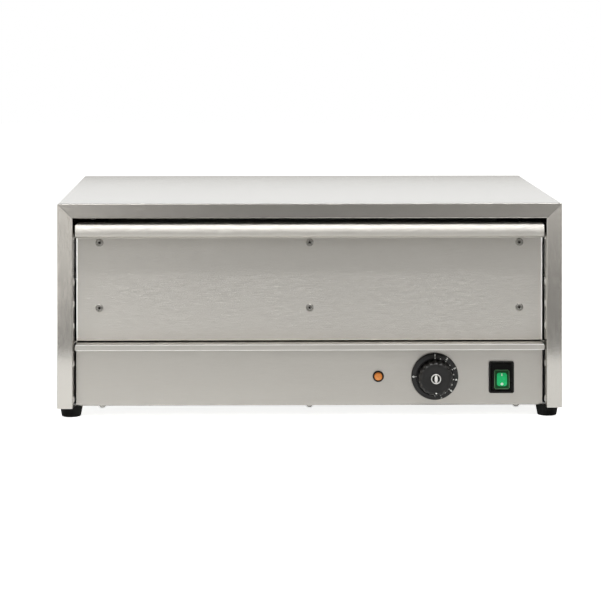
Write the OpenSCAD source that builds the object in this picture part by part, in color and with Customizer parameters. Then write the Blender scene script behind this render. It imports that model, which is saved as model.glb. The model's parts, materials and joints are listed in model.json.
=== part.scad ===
/* [Cabinet] */
// Width over the shell's sides
body_w = 508; // [480:1:560]
// Depth from the front flange's face to the shell's rear face
body_d = 406; // [400:1:480]
// Height of the shell without its feet
shell_h = 206; // [200:1:230]
// Thickness of the shell's sheet
shell_t = 1.2; // [0.9:0.1:1.5]
// Outside radius of the shell's bends
shell_bend = 2; // [1.8:0.1:2.6]
// Width of the front flange at each side
flange_w = 16; // [15:0.5:18]
// Height of the front flange along the top
flange_h = 15.5; // [14.5:0.5:18]
// Depth of the flange's return into the cabinet
return_d = 24; // [20:1:26]
// Width of the flanges under the sides, which carry the feet
foot_flange_w = 24; // [22:1:30]
// Width of the flanges round the back
back_flange_w = 14; // [12:1:15]
// Thickness of the back panel
back_t = 1; // [0.8:0.1:1.5]
// Distance of the back panel's edge from the shell's edge
back_edge = 3; // [2:0.5:4]
// Thickness of the base pan
pan_t = 1; // [0.8:0.1:1.5]
// Height of the base pan's upturned edges
pan_edge_h = 12; // [10:1:15]

/* [Drawer space] */
// Thickness of the liner's sheet
liner_t = 1; // [0.8:0.1:1.4]
// Distance from the liner's rear edge to the shell's rear face
liner_back_gap = 11; // [8:1:16]
// Depth of the liner back's folded edges
liner_fold = 13; // [10:1:20]
// Height of the deck's top above the shell's lower edge
deck_z = 64.3; // [62:0.1:68]
// Thickness of the deck plate
deck_t = 1.2; // [1:0.1:1.5]
// Height of the deck's folded front edge
deck_lip_h = 6.6; // [6:0.1:9]
// Gap between the deck's front edge and the flange return
deck_gap = 2; // [1.5:0.1:3]
// Height of the deck's side flanges
deck_side_h = 14; // [12:1:18]

/* [Drawer] */
// Distance of the drawer front and the control panel behind the flange's face
front_set = 18; // [17:0.5:19.5]
// Gap between the drawer front or control panel and the flange return
front_gap = 2.2; // [1.6:0.1:3]
// Thickness of the drawer front's sheet
skin_t = 1.2; // [0.9:0.1:1.5]
// Depth of the drawer front's folded edges
skin_edge = 7; // [5:0.5:8]
// Gap between the drawer front and the deck
skin_gap = 1.4; // [1:0.1:2.5]
// Height of the pull lip
lip_h = 14.9; // [14:0.1:18]
// Radius of the lip's upper front bend
lip_bend = 8; // [5:0.5:8]
// Gap between the lip and the top flange
lip_gap = 4.7; // [3:0.1:6]
// Thickness of the drawer box's sheet
box_t = 1; // [0.8:0.1:1.4]
// Height of the drawer box's walls
box_h = 88; // [80:1:90]
// Distance of the box's rim below the top of the lip
box_drop = 12.8; // [12:0.1:15]
// Width of the box's inward rim and floor ledge
box_rim = 8; // [6:1:12]
// Thickness of the perforated floor
floor_t = 1; // [0.8:0.1:1.5]

/* [Telescopic slides] */
// Width of a slide from the liner to the drawer box
slide_w = 12.7; // [12.7:0.1:14]
// Height of the cabinet rail
slide_h = 45.7; // [42:0.1:48]
// Thickness of the rails' sheet
rail_t = 1; // [0.9:0.05:1.05]
// Diameter of the balls
ball_d = 3.5; // [3.3:0.1:3.5]
// Clearance between a ball and its raceways
ball_gap = 0.25; // [0.2:0.01:0.3]
// Balls in each row of a cage
ball_count = 8; // [5:1:10]
// Length over which the drawer's rails stay inside when the drawer is fully out
slide_overlap = 20; // [15:1:60]
// Distance that a ball cage keeps from the ends of its rails
cage_margin = 17.5; // [10:0.5:30]
// Length of the drawer buffers
buffer_l = 4; // [3:0.5:6]

/* [Controls] */
// Thickness of the control panel's sheet
panel_t = 1.2; // [1:0.1:1.5]
// Depth of the control panel's bottom return
panel_return = 26; // [22:1:32]
// Height of the controls above the shell's lower edge
control_z = 29.3; // [29:0.1:32]
// Distance of the knob from the middle of the cabinet
knob_x = 126.6; // [110:0.1:130]
// Diameter of the knob's numbered skirt
knob_d = 47.5; // [44:0.5:50]
// Distance of the skirt's face in front of the control panel
skirt_out = 5.5; // [5:0.1:7]
// Diameter of the knob's grip over its flutes
grip_d = 35; // [30:0.5:36]
// Length of the grip in front of the skirt
grip_len = 16.5; // [12:0.5:18]
// Flutes round the grip
flute_count = 18; // [12:1:24]
// Diameter of the thermostat's spindle
spindle_d = 6; // [5:0.5:7]
// Distance of the pilot lamp from the middle of the cabinet
lamp_x = 69.4; // [55:0.1:80]
// Diameter of the pilot lamp's bezel
lamp_d = 11.4; // [10:0.1:14]
// Diameter of the pilot lamp's lens
lens_d = 8; // [7:0.1:8.4]
// Distance of the rocker switch from the middle of the cabinet
switch_x = 194.2; // [185:0.1:205]
// Distance of the rocker switch below the line of the knob and lamp
switch_drop = 1; // [0:0.5:2]
// Width of the rocker switch's bezel
switch_w = 25.4; // [24:0.1:28]
// Height of the rocker switch's bezel
switch_h = 32; // [31:0.1:35]
// Tilt of the rocker paddle to each side
rocker_tilt = 7; // [4:0.5:8]

/* [Heater] */
// Diameter of the heating element's tube
element_d = 8; // [6.5:0.1:8.5]
// Distance between the element's runs
element_pitch = 50; // [40:1:52]
// Length of the element's straight runs
element_run = 300; // [240:1:310]
// Gap between the element and the deck
element_gap = 6; // [4:0.5:8]
// Depth of the heat shield below the deck
shield_h = 28; // [24:1:32]
// Diameter of the thermostat's bulb
bulb_d = 6; // [5:0.5:7]
// Length of the thermostat's bulb
bulb_len = 80; // [60:1:100]

/* [Feet and fasteners] */
// Height of the feet
foot_h = 11; // [9:0.5:14]
// Diameter of a foot at its top
foot_d = 23.4; // [20.6:0.1:24]
// Diameter of a foot at the floor
foot_tip_d = 19.8; // [16:0.1:20.2]
// Distance of a foot's centre from the shell's side
foot_inset = 12.7; // [12:0.1:13.5]
// Distance of a foot's centre from the shell's front and rear faces
foot_y = 25; // [23:1:30]
// Diameter of the blind rivets' heads
rivet_d = 8; // [7:0.1:8.2]
// Bore of the cable gland
gland_bore = 9; // [7:0.1:10]

/* [Hidden] */
$fn = 48;
steel = [0.74, 0.73, 0.71];
dull_steel = [0.66, 0.66, 0.65];
bright_steel = [0.85, 0.85, 0.84];
black = [0.08, 0.08, 0.08];
// Steps along each bend of a folded sheet
bend_steps = 5;
// Radius of a small inside bend
tight_bend = 0.4;
// Clearance round a fastener and between parts that are placed side by side
fit_gap = 0.3;
// Clearance of a sheet's edge from the inside of another sheet's fold
fold_gap = 0.9;
// Overlap of a cutter past the face that it cuts
past = 1;
// Half the width and the height of the front opening inside the flanges
open_x = body_w / 2 - flange_w;
open_z = shell_h - flange_h;
// Half the width and the height of the space inside the liner
space_x = open_x + shell_t;
space_z = open_z + shell_t;
// Top of the base pan
pan_z = shell_t + pan_t;
liner_y = shell_t + 1.8;
liner_end = body_d - liner_back_gap;
liner_bend = 1.5;
deck_under = deck_z - deck_t;
panel_x = open_x - front_gap;
// Drawer front and lip
skin_z = deck_z + skin_gap;
lip_top = open_z - lip_gap;
lip_z = lip_top - lip_h;
skin_bend = skin_t + 0.5;
// Drawer box
box_x = space_x - slide_w;
box_y = front_set + skin_t;
box_top = lip_top - box_drop;
box_z = box_top - box_h;
// The slides run from the flange return to the buffers on the liner's back, and the box ends with them
liner_back_y = liner_end - liner_fold;
rail_y = return_d + 4;
rail_end = liner_back_y - buffer_l;
slide_len = rail_end - rail_y;
slide_z = box_top - 24;
travel = slide_len - slide_overlap;
// Raceway of the rails: a sheet bent round each row of balls
track_r = ball_d / 2 + ball_gap + rail_t / 2;
track_slope = 40;
track_flat = ball_d / 2 - 0.15;
track_depth = track_r / cos(track_slope);
track_half = (track_depth - track_flat) / tan(track_slope);
track_span = 2 * track_r * sin(track_slope) + 0.1;
// From the middle of a raceway to the sheet's free edge
track_edge = track_r * sin(track_slope) + 0.05;
cage_t = 0.6;
web_outer = rail_t / 2;
web_middle = 2.3 + rail_t / 2;
web_inner = slide_w - rail_t / 2;
// Mid radii of the rails' bends at the web and at the raceways, and the length that they take up
rail_corner = rail_t / 2 + 0.1;
lip_corner = 0.6;
corner_run = rail_corner + lip_corner * tan(track_slope / 2) + 0.02;
row_outer_x = web_middle + track_half + corner_run;
row_inner_x = row_outer_x + track_span;
row_outer_z = slide_h / 2 - rail_t / 2 - track_r;
row_inner_z = row_outer_z - 2 * track_depth + track_span * tan(track_slope);
// The cages run half as far as the rails on both sides of them
cage_y = rail_y + travel / 4 + cage_margin;
cage_len = slide_len - travel / 2 - 2 * cage_margin;
cage_web_outer = (web_outer + web_middle) / 2;
cage_web_inner = web_middle + rail_t / 2 + 0.7;
outer_cage_end = row_outer_x + ball_d / 2 + 0.6;
inner_cage_end = row_inner_x + ball_d / 2 + 0.25;
// Countersunk screws that hold the rails, measured from the rail's front end
rail_screw_at = [24, slide_len / 2, slide_len - 24];
rail_screw_d = 3.4;
rail_screw_hole = rail_screw_d + 0.2;
rail_sink = 0.8;
rail_screw_l = 4;
// Rivets: across the return, in heights above the lower edge, and along the top
rivet_shank = 4;
rivet_hole = rivet_shank + 0.1;
rivet_head_t = 0.8;
rivet_y = return_d * 0.375;
rivet_zs = [8, deck_z - 20.3, deck_z + 17.7, shell_h / 2 + 1, open_z * 0.66, open_z - 18.5];
rivet_xs = [-open_x + 21, -open_x * 0.353, open_x * 0.353, open_x - 21];
deck_rivet_ys = [70, body_d / 2, body_d - 60];
skin_rivet_x = panel_x - 23.3;
skin_rivet_xs = [-skin_rivet_x, 0, skin_rivet_x];
skin_rivet_zs = [box_top - 8, box_z + 14];
skin_rivet_head = 1.1;
buffer_x = box_x - 76.5;
// Screws
base_screw_x = body_w / 2 - 44;
base_screw_xs = [-base_screw_x, 0, base_screw_x];
base_screw_y = front_set + 10;
screw_d = 4;
screw_hole = screw_d + 0.2;
screw_head_d = 6.4;
back_screw_in = back_flange_w / 2 + 0.5;
back_screw_x = body_w * 0.295;
back_screw_xs = [-back_screw_x, 0, back_screw_x];
back_screw_zs = [26, shell_h / 2, shell_h - 26];
back_row_zs = [pan_edge_h / 2 + shell_t / 2, shell_h - back_screw_in];
// Feet
foot_x = body_w / 2 - foot_inset;
foot_ys = [foot_y, body_d - foot_y];
// Control panel cut-outs
spindle_hole = spindle_d + 4;
thermo_screw_x = 14;
lamp_body_d = lens_d + 1.2;
switch_cut_w = switch_w - 3.4;
switch_cut_h = switch_h - 2;
rocker_w = switch_w - 5.6;
rocker_h = switch_h - 4.4;
rocker_axis_y = front_set + 3;
switch_z = control_z - switch_drop;
pivot_d = 3;
// The paddle's faces and the floor of its lens pocket, in front of the pivot
rocker_rise = 7.4;
lens_floor = 5.4;
lens_drop = 2.8;
thermo_head_t = 1.6;
thermo_w = 40;
thermo_h = 34;
thermo_d = 34;
// Heater
element_z = deck_under - element_gap - element_d / 2;
element_y = body_d / 2 - 8;
element_ys = [for (i = [0:3]) element_y + (i - 1.5) * element_pitch];
shield_z = deck_under - shield_h;
shield_x = element_run / 2 + element_pitch / 2 + element_d / 2 + 11;
shield_y0 = element_ys[0] - 26;
shield_y1 = element_ys[3] + 26;
shield_t = 0.8;
element_end = shield_x + 16;
bulb_y = shield_y0 - 22;
bulb_z = deck_under - 1.5 - bulb_d / 2;
capillary_d = 1.8;
capillary_x = knob_x - thermo_w / 2 + 12;
// The bulb's end where the capillary leaves it
bulb_x = capillary_x - 90;
thermo_y = front_set + panel_t;
thermo_top = control_z + thermo_h / 2;
clip_t = 0.8;
// Mains side
gland_x = 64 - body_w / 2;
gland_z = 30;
gland_d = 20;
gland_hex = 24;
terminal_x = gland_x + 60;
terminal_y = body_d - 60;
terminal_w = 36;
terminal_d = 20;
terminal_h = 17;
earth_x = gland_x;
earth_y = body_d - 90;
// The whole model is centred front to back between the knob's face and the cable gland's end
knob_front = front_set - skirt_out - grip_len;
gland_out = 17;
front_most = min(0, knob_front);
back_most = body_d + back_t + gland_out;
middle_y = (front_most + back_most) / 2;

// Unit vector along v
function unit(v) = v / norm(v);
// A plane vector turned a quarter turn to the left
function left_of(v) = [-v[1], v[0]];
function turned(v, a) = [v[0] * cos(a) - v[1] * sin(a), v[0] * sin(a) + v[1] * cos(a)];
function backwards(list) = [for (i = [len(list) - 1:-1:0]) list[i]];
// The bend at corner b of the line a, b, c at radius r, followed at a distance s to its left
function bend(a, b, c, r, s) =
  let (u = unit(b - a))
  let (w = unit(c - b))
  let (turn = atan2(u[0] * w[1] - u[1] * w[0], u * w))
  let (start = b - u * r * tan(abs(turn) / 2))
  let (centre = start + left_of(u) * r * sign(turn))
  let (spoke = left_of(u) * (s - r * sign(turn)))
  [for (i = [0:bend_steps]) centre + turned(spoke, turn * i / bend_steps)];
function radius_of(r, i) = is_list(r) ? r[i] : r;
// A line through points p with its corners bent, followed at a distance s to its left
function bent_line(p, r, s) =
  let (last = len(p) - 1)
  concat(
    [p[0] + left_of(unit(p[1] - p[0])) * s],
    [for (i = [1:last - 1]) each bend(p[i - 1], p[i], p[i + 1], radius_of(r, i - 1), s)],
    [p[last] + left_of(unit(p[last] - p[last - 1])) * s]
  );

// Section of a sheet of thickness t whose middle follows p, bent at mid radius r
module folded(p, t, r) {
  polygon(concat(bent_line(p, r, t / 2), backwards(bent_line(p, r, -t / 2))));
}

// Places the cabinet, drawn from its flange face and lower edge, on the floor and over the origin
module placed() {
  translate([0, -middle_y, foot_h])
    children();
}

// A section drawn in Y and Z, drawn out along X to both sides
module along_x(length) {
  rotate([90, 0, 90])
    linear_extrude(length, center = true)
      children();
}

// A section drawn in X and Z, drawn out along Y
module along_y(y0, y1) {
  translate([0, y1, 0])
    rotate([90, 0, 0])
      linear_extrude(y1 - y0)
        children();
}

// A section drawn in X and Y, drawn out along Z
module along_z(z0, z1) {
  translate([0, 0, z0])
    linear_extrude(z1 - z0)
      children();
}

module both_sides() {
  children();
  mirror([1, 0, 0])
    children();
}

// A block given by its low and high corners
module block(low, high) {
  translate(low)
    cube(high - low);
}

module hole_x(at, d, length) {
  translate(at)
    rotate([0, 90, 0])
      cylinder(d = d, h = length, center = true);
}

module hole_y(at, d, length) {
  translate(at)
    rotate([90, 0, 0])
      cylinder(d = d, h = length, center = true);
}

module hole_z(at, d, length) {
  translate(at)
    cylinder(d = d, h = length, center = true);
}

// A rectangle with round corners, centred
module round_rect(w, h, r) {
  square([w - 2 * r, h], center = true);
  square([w, h - 2 * r], center = true);
  for (x = [-1, 1])
    for (y = [-1, 1])
      translate([x * (w / 2 - r), y * (h / 2 - r)])
        circle(r);
}

// A slot with round ends, along Y
module slot(length, width) {
  square([width, length - width], center = true);
  for (y = [-1, 1])
    translate([0, y * (length - width) / 2])
      circle(d = width);
}

// A blind rivet: head on top of the plane, shank and set tail under it
module rivet(grip, head_d, head_t) {
  difference() {
    union() {
      cylinder(d1 = head_d, d2 = head_d * 0.72, h = head_t);
      translate([0, 0, -grip - 2.5])
        cylinder(d = rivet_shank, h = grip + 2.5);
      translate([0, 0, -grip - 2.5])
        cylinder(d = rivet_shank * 1.4, h = 2.5);
    }
    translate([0, 0, head_t - 1.2])
      cylinder(d = 2, h = 1.2 + past);
  }
}

// A pan-head screw: head on top of the plane, shank under it
module pan_screw(length, head_d, head_t, shank) {
  difference() {
    union() {
      cylinder(d = head_d, h = head_t * 0.55);
      translate([0, 0, head_t * 0.55])
        cylinder(d1 = head_d, d2 = head_d * 0.6, h = head_t * 0.45);
      translate([0, 0, -length])
        cylinder(d = shank, h = length);
    }
    for (a = [0, 90])
      rotate([0, 0, a])
        translate([-head_d * 0.28, -0.4, head_t * 0.5])
          cube([head_d * 0.56, 0.8, head_t]);
  }
}

module hex_nut(across, height, bore) {
  difference() {
    cylinder(d = across / cos(30), h = height, $fn = 6);
    translate([0, 0, -past])
      cylinder(d = bore, h = height + 2 * past);
  }
}

module mitre_section() {
  reach = 1.25;
  polygon([
    [-body_w / 2 - past, shell_h + past],
    [-body_w / 2, shell_h],
    [-body_w / 2 + reach * flange_w, shell_h - reach * flange_h],
    [body_w / 2 - reach * flange_w, shell_h - reach * flange_h],
    [body_w / 2, shell_h],
    [body_w / 2 + past, shell_h + past]
  ]);
}

module side_section() {
  m = shell_t / 2;
  path = [
    [open_x + m, return_d],
    [open_x + m, m],
    [body_w / 2 - m, m],
    [body_w / 2 - m, body_d - m],
    [body_w / 2 - back_flange_w, body_d - m]
  ];
  folded(path, shell_t, shell_bend - m);
}

module top_section() {
  m = shell_t / 2;
  path = [
    [return_d, open_z + m],
    [m, open_z + m],
    [m, shell_h - m],
    [body_d - m, shell_h - m],
    [body_d - m, shell_h - back_flange_w]
  ];
  folded(path, shell_t, shell_bend - m);
}

module shell_side() {
  difference() {
    along_z(0, shell_h)
      side_section();
    along_y(-past, body_d + past)
      mitre_section();
    // The return stops above the base pan
    block([open_x - past, shell_bend, -past], [space_x + past, return_d + past, pan_z + fit_gap]);
  }
  block([open_x, shell_bend, 0], [body_w / 2 - shell_t / 2, front_set + shell_t, shell_t]);
  block([body_w / 2 - foot_flange_w, front_set + panel_t + fit_gap, 0],
    [body_w / 2 - shell_t / 2, body_d - shell_t / 2, shell_t]);
}

module shell_outline() {
  translate([0, shell_h / 2])
    round_rect(body_w, shell_h, shell_bend);
  translate([-body_w / 2, 0])
    square([body_w, shell_h / 2]);
}

module outer_shell() {
  placed()
    color(steel)
      difference() {
        intersection() {
          union() {
            both_sides()
              shell_side();
            intersection() {
              along_x(body_w)
                top_section();
              along_y(-past, body_d + past)
                mitre_section();
            }
          }
          along_y(-past, body_d + past)
            shell_outline();
        }
        // Relief where the two returns meet
        both_sides()
          block([open_x - 2.5, shell_bend, open_z - 2.5],
            [space_x + past, return_d + past, space_z + past]);
        liner_rivet_holes();
        foot_holes();
        back_screw_holes();
      }
}

module foot_holes() {
  both_sides()
    for (y = foot_ys)
      hole_z([foot_x, y, pan_z / 2], screw_hole, pan_z + 2 * past);
}

module back_screw_holes() {
  both_sides()
    for (z = back_screw_zs)
      hole_y([body_w / 2 - back_screw_in, body_d, z], screw_hole, 10);
  for (x = back_screw_xs)
    for (z = back_row_zs)
      hole_y([x, body_d, z], screw_hole, 10);
}

module liner_rivet_holes() {
  both_sides()
    for (z = rivet_zs)
      hole_x([space_x, rivet_y, z], rivet_hole, 8);
  for (x = rivet_xs)
    hole_z([x, rivet_y, space_z], rivet_hole, 8);
}

module vent_row(count, pitch, length, width) {
  for (i = [0:count - 1])
    translate([(i - (count - 1) / 2) * pitch, 0])
      slot(length, width);
}

module back_panel() {
  placed()
    color(dull_steel)
      difference() {
        along_y(body_d, body_d + back_t)
          difference() {
            translate([0, shell_h / 2])
              round_rect(body_w - 2 * back_edge, shell_h - 2 * back_edge, 3);
            translate([60, 34])
              vent_row(14, 9, 26, 3.4);
            translate([60, shell_h - 36])
              vent_row(14, 9, 26, 3.4);
            translate([-140, shell_h - 36])
              vent_row(10, 9, 26, 3.4);
          }
        back_screw_holes();
        hole_y([gland_x, body_d, gland_z], gland_d + 0.4, 10);
      }
}

module base_pan() {
  m = pan_t / 2;
  x = body_w / 2 - shell_t - m;
  path = [[-x, pan_edge_h], [-x, shell_t + m], [x, shell_t + m], [x, pan_edge_h]];
  y0 = front_set + panel_t + fold_gap;
  y1 = body_d - shell_t - fold_gap;
  edge_x = body_w / 2 - back_flange_w - fit_gap;
  placed()
    color(dull_steel)
      difference() {
        union() {
          along_y(y0, y1)
            folded(path, pan_t, m + tight_bend);
          along_x(2 * edge_x)
            folded([[y1 - 10, shell_t + m], [body_d - m, shell_t + m], [body_d - m, pan_edge_h]],
              pan_t, m + tight_bend);
        }
        foot_holes();
        back_screw_holes();
        for (x = base_screw_xs)
          hole_z([x, base_screw_y, shell_t], screw_hole, 10);
        hole_z([earth_x, earth_y, shell_t], screw_hole, 10);
        for (y = [body_d * 0.32, body_d * 0.62])
          along_z(-past, pan_z + past)
            translate([0, y])
              vent_row(16, 14, 40, 4);
      }
}

module inner_liner() {
  m = liner_t / 2;
  x = space_x + m;
  z = space_z + m;
  placed()
    color(dull_steel)
      difference() {
        along_y(liner_y, liner_end)
          folded([[-x, pan_z], [-x, z], [x, z], [x, pan_z]], liner_t, liner_bend + m);
        liner_rivet_holes();
        deck_rivet_holes();
        both_sides() {
          for (y = foot_ys)
            block([space_x - past, y - 7, 0], [space_x + liner_t + past, y + 7, pan_z + 6]);
          for (y = rail_screw_at)
            hole_x([space_x, rail_y + y, slide_z], rail_screw_hole, 8);
        }
        wire_gap();
      }
}

// Cut-out low in the liner's left side and rear, where the supply wires pass
module wire_gap() {
  block([-space_x - liner_t - past, body_d - 44, 0], [-space_x + past, body_d - 30, pan_z + 6]);
}

module deck_rivet_holes() {
  both_sides()
    for (y = deck_rivet_ys)
      hole_x([space_x, y, deck_z - deck_side_h + 5], rivet_hole, 8);
}

module liner_back() {
  m = liner_t / 2;
  x = space_x - m;
  placed()
    color(dull_steel)
      along_z(deck_z, space_z - liner_bend - fit_gap)
        folded([[-x, liner_end], [-x, liner_back_y + m], [x, liner_back_y + m], [x, liner_end]],
          liner_t, m + tight_bend);
}

module deck_plate() {
  m = deck_t / 2;
  x = space_x - m;
  front_x = open_x - deck_gap;
  join_y = return_d + 2;
  placed()
    color(steel)
      difference() {
        union() {
          along_y(return_d + 1, liner_end)
            folded([[-x, deck_z - deck_side_h], [-x, deck_z - m], [x, deck_z - m],
              [x, deck_z - deck_side_h]], deck_t, m + tight_bend);
          intersection() {
            along_x(2 * front_x)
              folded([[join_y, deck_z - m], [m, deck_z - m], [m, deck_z - deck_lip_h + m],
                [9, deck_z - deck_lip_h + m]], deck_t, m + 0.9);
            along_y(-past, join_y + past)
              translate([0, deck_z - deck_lip_h / 2])
                round_rect(2 * front_x, deck_lip_h, 2);
          }
        }
        deck_rivet_holes();
        for (y = [liner_end - 32, shield_y0 - 46])
          along_z(deck_under - past, deck_z + past)
            translate([0, y])
              vent_row(18, 22, 18, 4);
      }
}

module control_panel() {
  m = panel_t / 2;
  y = front_set;
  placed()
    color(steel)
      difference() {
        union() {
          difference() {
            along_x(2 * panel_x)
              folded([[y + panel_return, m], [y + m, m], [y + m, deck_under - m],
                [y + 16, deck_under - m]], panel_t, m + 0.6);
            // The bottom return stops short of the flanges that carry the feet
            both_sides()
              block([body_w / 2 - foot_flange_w - past, y + panel_t + fit_gap, -past],
                [panel_x + past, y + panel_return + past, shell_t + past]);
          }
          both_sides()
            block([panel_x - panel_t, y + panel_t / 2, pan_z + fit_gap],
              [panel_x, y + 11, deck_under - panel_t / 2]);
        }
        hole_y([lamp_x, y, control_z], lamp_body_d + 0.2, 6);
        hole_y([knob_x, y, control_z], spindle_hole, 6);
        for (side = [-1, 1])
          hole_y([knob_x + side * thermo_screw_x, y, control_z], screw_hole, 6);
        along_y(y - past, y + panel_t + past)
          translate([switch_x, switch_z])
            square([switch_cut_w, switch_cut_h], center = true);
        for (x = base_screw_xs)
          hole_z([x, base_screw_y, shell_t], screw_hole, 10);
      }
}

module foot() {
  edge = 1.5;
  recess = 9.4;
  translate([0, 0, -foot_h])
    rotate_extrude()
      polygon([
        [recess / 2, 0],
        [foot_tip_d / 2 - edge, 0],
        [foot_tip_d / 2 - 0.3 * edge, 0.3 * edge],
        [foot_tip_d / 2, edge],
        [foot_d / 2, foot_h],
        [screw_hole / 2, foot_h],
        [screw_hole / 2, foot_h / 2],
        [recess / 2, foot_h / 2]
      ]);
}

module feet() {
  placed()
    color(black)
      both_sides()
        for (y = foot_ys)
          translate([foot_x, y, 0])
            foot();
}

module foot_screws() {
  length = foot_h / 2 + pan_z + 2;
  placed()
    color(bright_steel)
      both_sides()
        for (y = foot_ys)
          translate([foot_x, y, -foot_h / 2])
            rotate([180, 0, 0])
              pan_screw(length, 8, 2.6, screw_d);
}

module liner_rivets() {
  placed()
    color(bright_steel) {
      both_sides() {
        for (z = rivet_zs)
          translate([open_x, rivet_y, z])
            rotate([0, -90, 0])
              rivet(shell_t + liner_t, 7, rivet_head_t);
        for (y = deck_rivet_ys)
          translate([space_x - deck_t, y, deck_z - deck_side_h + 5])
            rotate([0, -90, 0])
              rivet(deck_t + liner_t, 7, rivet_head_t);
      }
      for (x = rivet_xs)
        translate([x, rivet_y, open_z])
          rotate([180, 0, 0])
            rivet(shell_t + liner_t, 7, rivet_head_t);
    }
}

module base_screws() {
  placed()
    color(bright_steel)
      for (x = base_screw_xs)
        translate([x, base_screw_y, 0])
          rotate([180, 0, 0])
            pan_screw(8, screw_head_d, 3, screw_d);
}

module back_screw(x, z) {
  translate([x, body_d + back_t, z])
    rotate([-90, 0, 0])
      pan_screw(8, screw_head_d, 2.4, screw_d);
}

module back_screws() {
  placed()
    color(bright_steel) {
      for (x = [-1, 1])
        for (z = back_screw_zs)
          back_screw(x * (body_w / 2 - back_screw_in), z);
      for (x = back_screw_xs)
        for (z = back_row_zs)
          back_screw(x, z);
    }
}

module drawer_buffers() {
  placed()
    color(black)
      for (x = [-buffer_x, buffer_x])
        translate([x, liner_back_y, box_z + box_h * 0.6])
          rotate([90, 0, 0])
            rotate_extrude()
              polygon([[0, 0], [7, 0], [6, buffer_l - 1.3], [5, buffer_l - 0.3], [0, buffer_l - 0.3]]);
}

// Places a slide, drawn from the liner's wall towards the drawer, at one side of the cabinet
module at_side(side) {
  translate([side * space_x, 0, slide_z])
    mirror([side > 0 ? 1 : 0, 0, 0])
      children();
}

// Section of a rail: the upper half as given, and the same below the middle
module rail_section(upper, radii) {
  lower = backwards([for (p = upper) [p[0], -p[1]]]);
  folded(concat(lower, upper), rail_t, concat(backwards(radii), radii));
}

module cabinet_rail_section() {
  z = row_outer_z + track_flat;
  peak = row_outer_z + track_depth;
  rail_section([
    [web_outer, z],
    [row_outer_x - track_half, z],
    [row_outer_x, peak],
    [row_outer_x + track_edge, peak - track_edge * tan(track_slope)]
  ], [rail_corner, lip_corner, track_r]);
}

module middle_rail_section() {
  dip = row_outer_z - track_depth;
  peak = row_inner_z + track_depth;
  rail_section([
    [web_middle, row_outer_z - track_flat],
    [row_outer_x - track_half, row_outer_z - track_flat],
    [row_outer_x, dip],
    [row_inner_x, peak],
    [row_inner_x + track_edge, peak - track_edge * tan(track_slope)]
  ], [rail_corner, lip_corner, track_r, track_r]);
}

module drawer_rail_section() {
  z = row_inner_z - track_flat;
  dip = row_inner_z - track_depth;
  rail_section([
    [web_inner, z],
    [row_inner_x + track_half, z],
    [row_inner_x, dip],
    [row_inner_x - track_edge, dip + track_edge * tan(track_slope)]
  ], [rail_corner, lip_corner, track_r]);
}

module cabinet_rail(side) {
  placed()
    color(bright_steel)
      at_side(side)
        difference() {
          along_y(rail_y, rail_end)
            cabinet_rail_section();
          // Countersinks for the screws into the liner
          for (y = rail_screw_at)
            translate([0, rail_y + y, 0])
              rotate([0, 90, 0]) {
                cylinder(d = rail_screw_hole, h = 2 * rail_t, center = true);
                translate([0, 0, rail_t - rail_sink])
                  cylinder(d1 = rail_screw_hole, d2 = rail_screw_hole + 2 * (rail_sink + past),
                    h = rail_sink + past);
              }
        }
}

module cabinet_rail_left() {
  cabinet_rail(-1);
}

module cabinet_rail_right() {
  cabinet_rail(1);
}

module rail_screws() {
  placed()
    color(bright_steel)
      for (side = [-1, 1])
        at_side(side)
          for (y = rail_screw_at)
            translate([0, rail_y + y, 0])
              rotate([0, 90, 0])
                rotate_extrude()
                  polygon([
                    [0, -liner_t - rail_screw_l],
                    [rail_screw_d / 2, -liner_t - rail_screw_l],
                    [rail_screw_d / 2, rail_t - rail_sink],
                    [rail_screw_d / 2 + rail_sink, rail_t],
                    [0, rail_t]
                  ]);
}

module mid_rail(side) {
  placed()
    color(bright_steel)
      at_side(side)
        along_y(rail_y, rail_end)
          middle_rail_section();
}

module mid_rail_left() {
  mid_rail(-1);
}

module mid_rail_right() {
  mid_rail(1);
}

function ball_ys() = [for (i = [0:ball_count - 1]) cage_y + 10 + i * (cage_len - 20) / (ball_count - 1)];

module cage(side, web, end_x, row_x, row_z) {
  placed()
    color(dull_steel)
      at_side(side)
        difference() {
          along_y(cage_y, cage_y + cage_len)
            folded([[end_x, -row_z], [web, -row_z], [web, row_z], [end_x, row_z]], cage_t, cage_t);
          for (y = ball_ys())
            for (z = [-row_z, row_z])
              hole_z([row_x, y, z], ball_d + 0.4, 4);
        }
}

module outer_cage_left() {
  cage(-1, cage_web_outer, outer_cage_end, row_outer_x, row_outer_z);
}

module outer_cage_right() {
  cage(1, cage_web_outer, outer_cage_end, row_outer_x, row_outer_z);
}

module inner_cage_left() {
  cage(-1, cage_web_inner, inner_cage_end, row_inner_x, row_inner_z);
}

module inner_cage_right() {
  cage(1, cage_web_inner, inner_cage_end, row_inner_x, row_inner_z);
}

module balls(row_x, row_z) {
  placed()
    color(bright_steel)
      for (side = [-1, 1])
        at_side(side)
          for (y = ball_ys())
            for (z = [-row_z, row_z])
              translate([row_x, y, z])
                sphere(d = ball_d);
}

module outer_balls() {
  balls(row_outer_x, row_outer_z);
}

module inner_balls() {
  balls(row_inner_x, row_inner_z);
}

module drawer_rail(side) {
  placed()
    color(bright_steel)
      at_side(side)
        difference() {
          along_y(rail_y, rail_end)
            drawer_rail_section();
          for (y = rail_screw_at)
            hole_x([slide_w, rail_y + y, 0], rivet_hole, 4);
        }
}

module drawer_rail_left() {
  drawer_rail(-1);
}

module drawer_rail_right() {
  drawer_rail(1);
}

module drawer_rail_rivets() {
  placed()
    color(bright_steel)
      for (side = [-1, 1])
        at_side(side)
          for (y = rail_screw_at)
            translate([slide_w - rail_t, rail_y + y, 0])
              rotate([0, -90, 0])
                rivet(rail_t + box_t, 7, 1.2);
}

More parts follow.
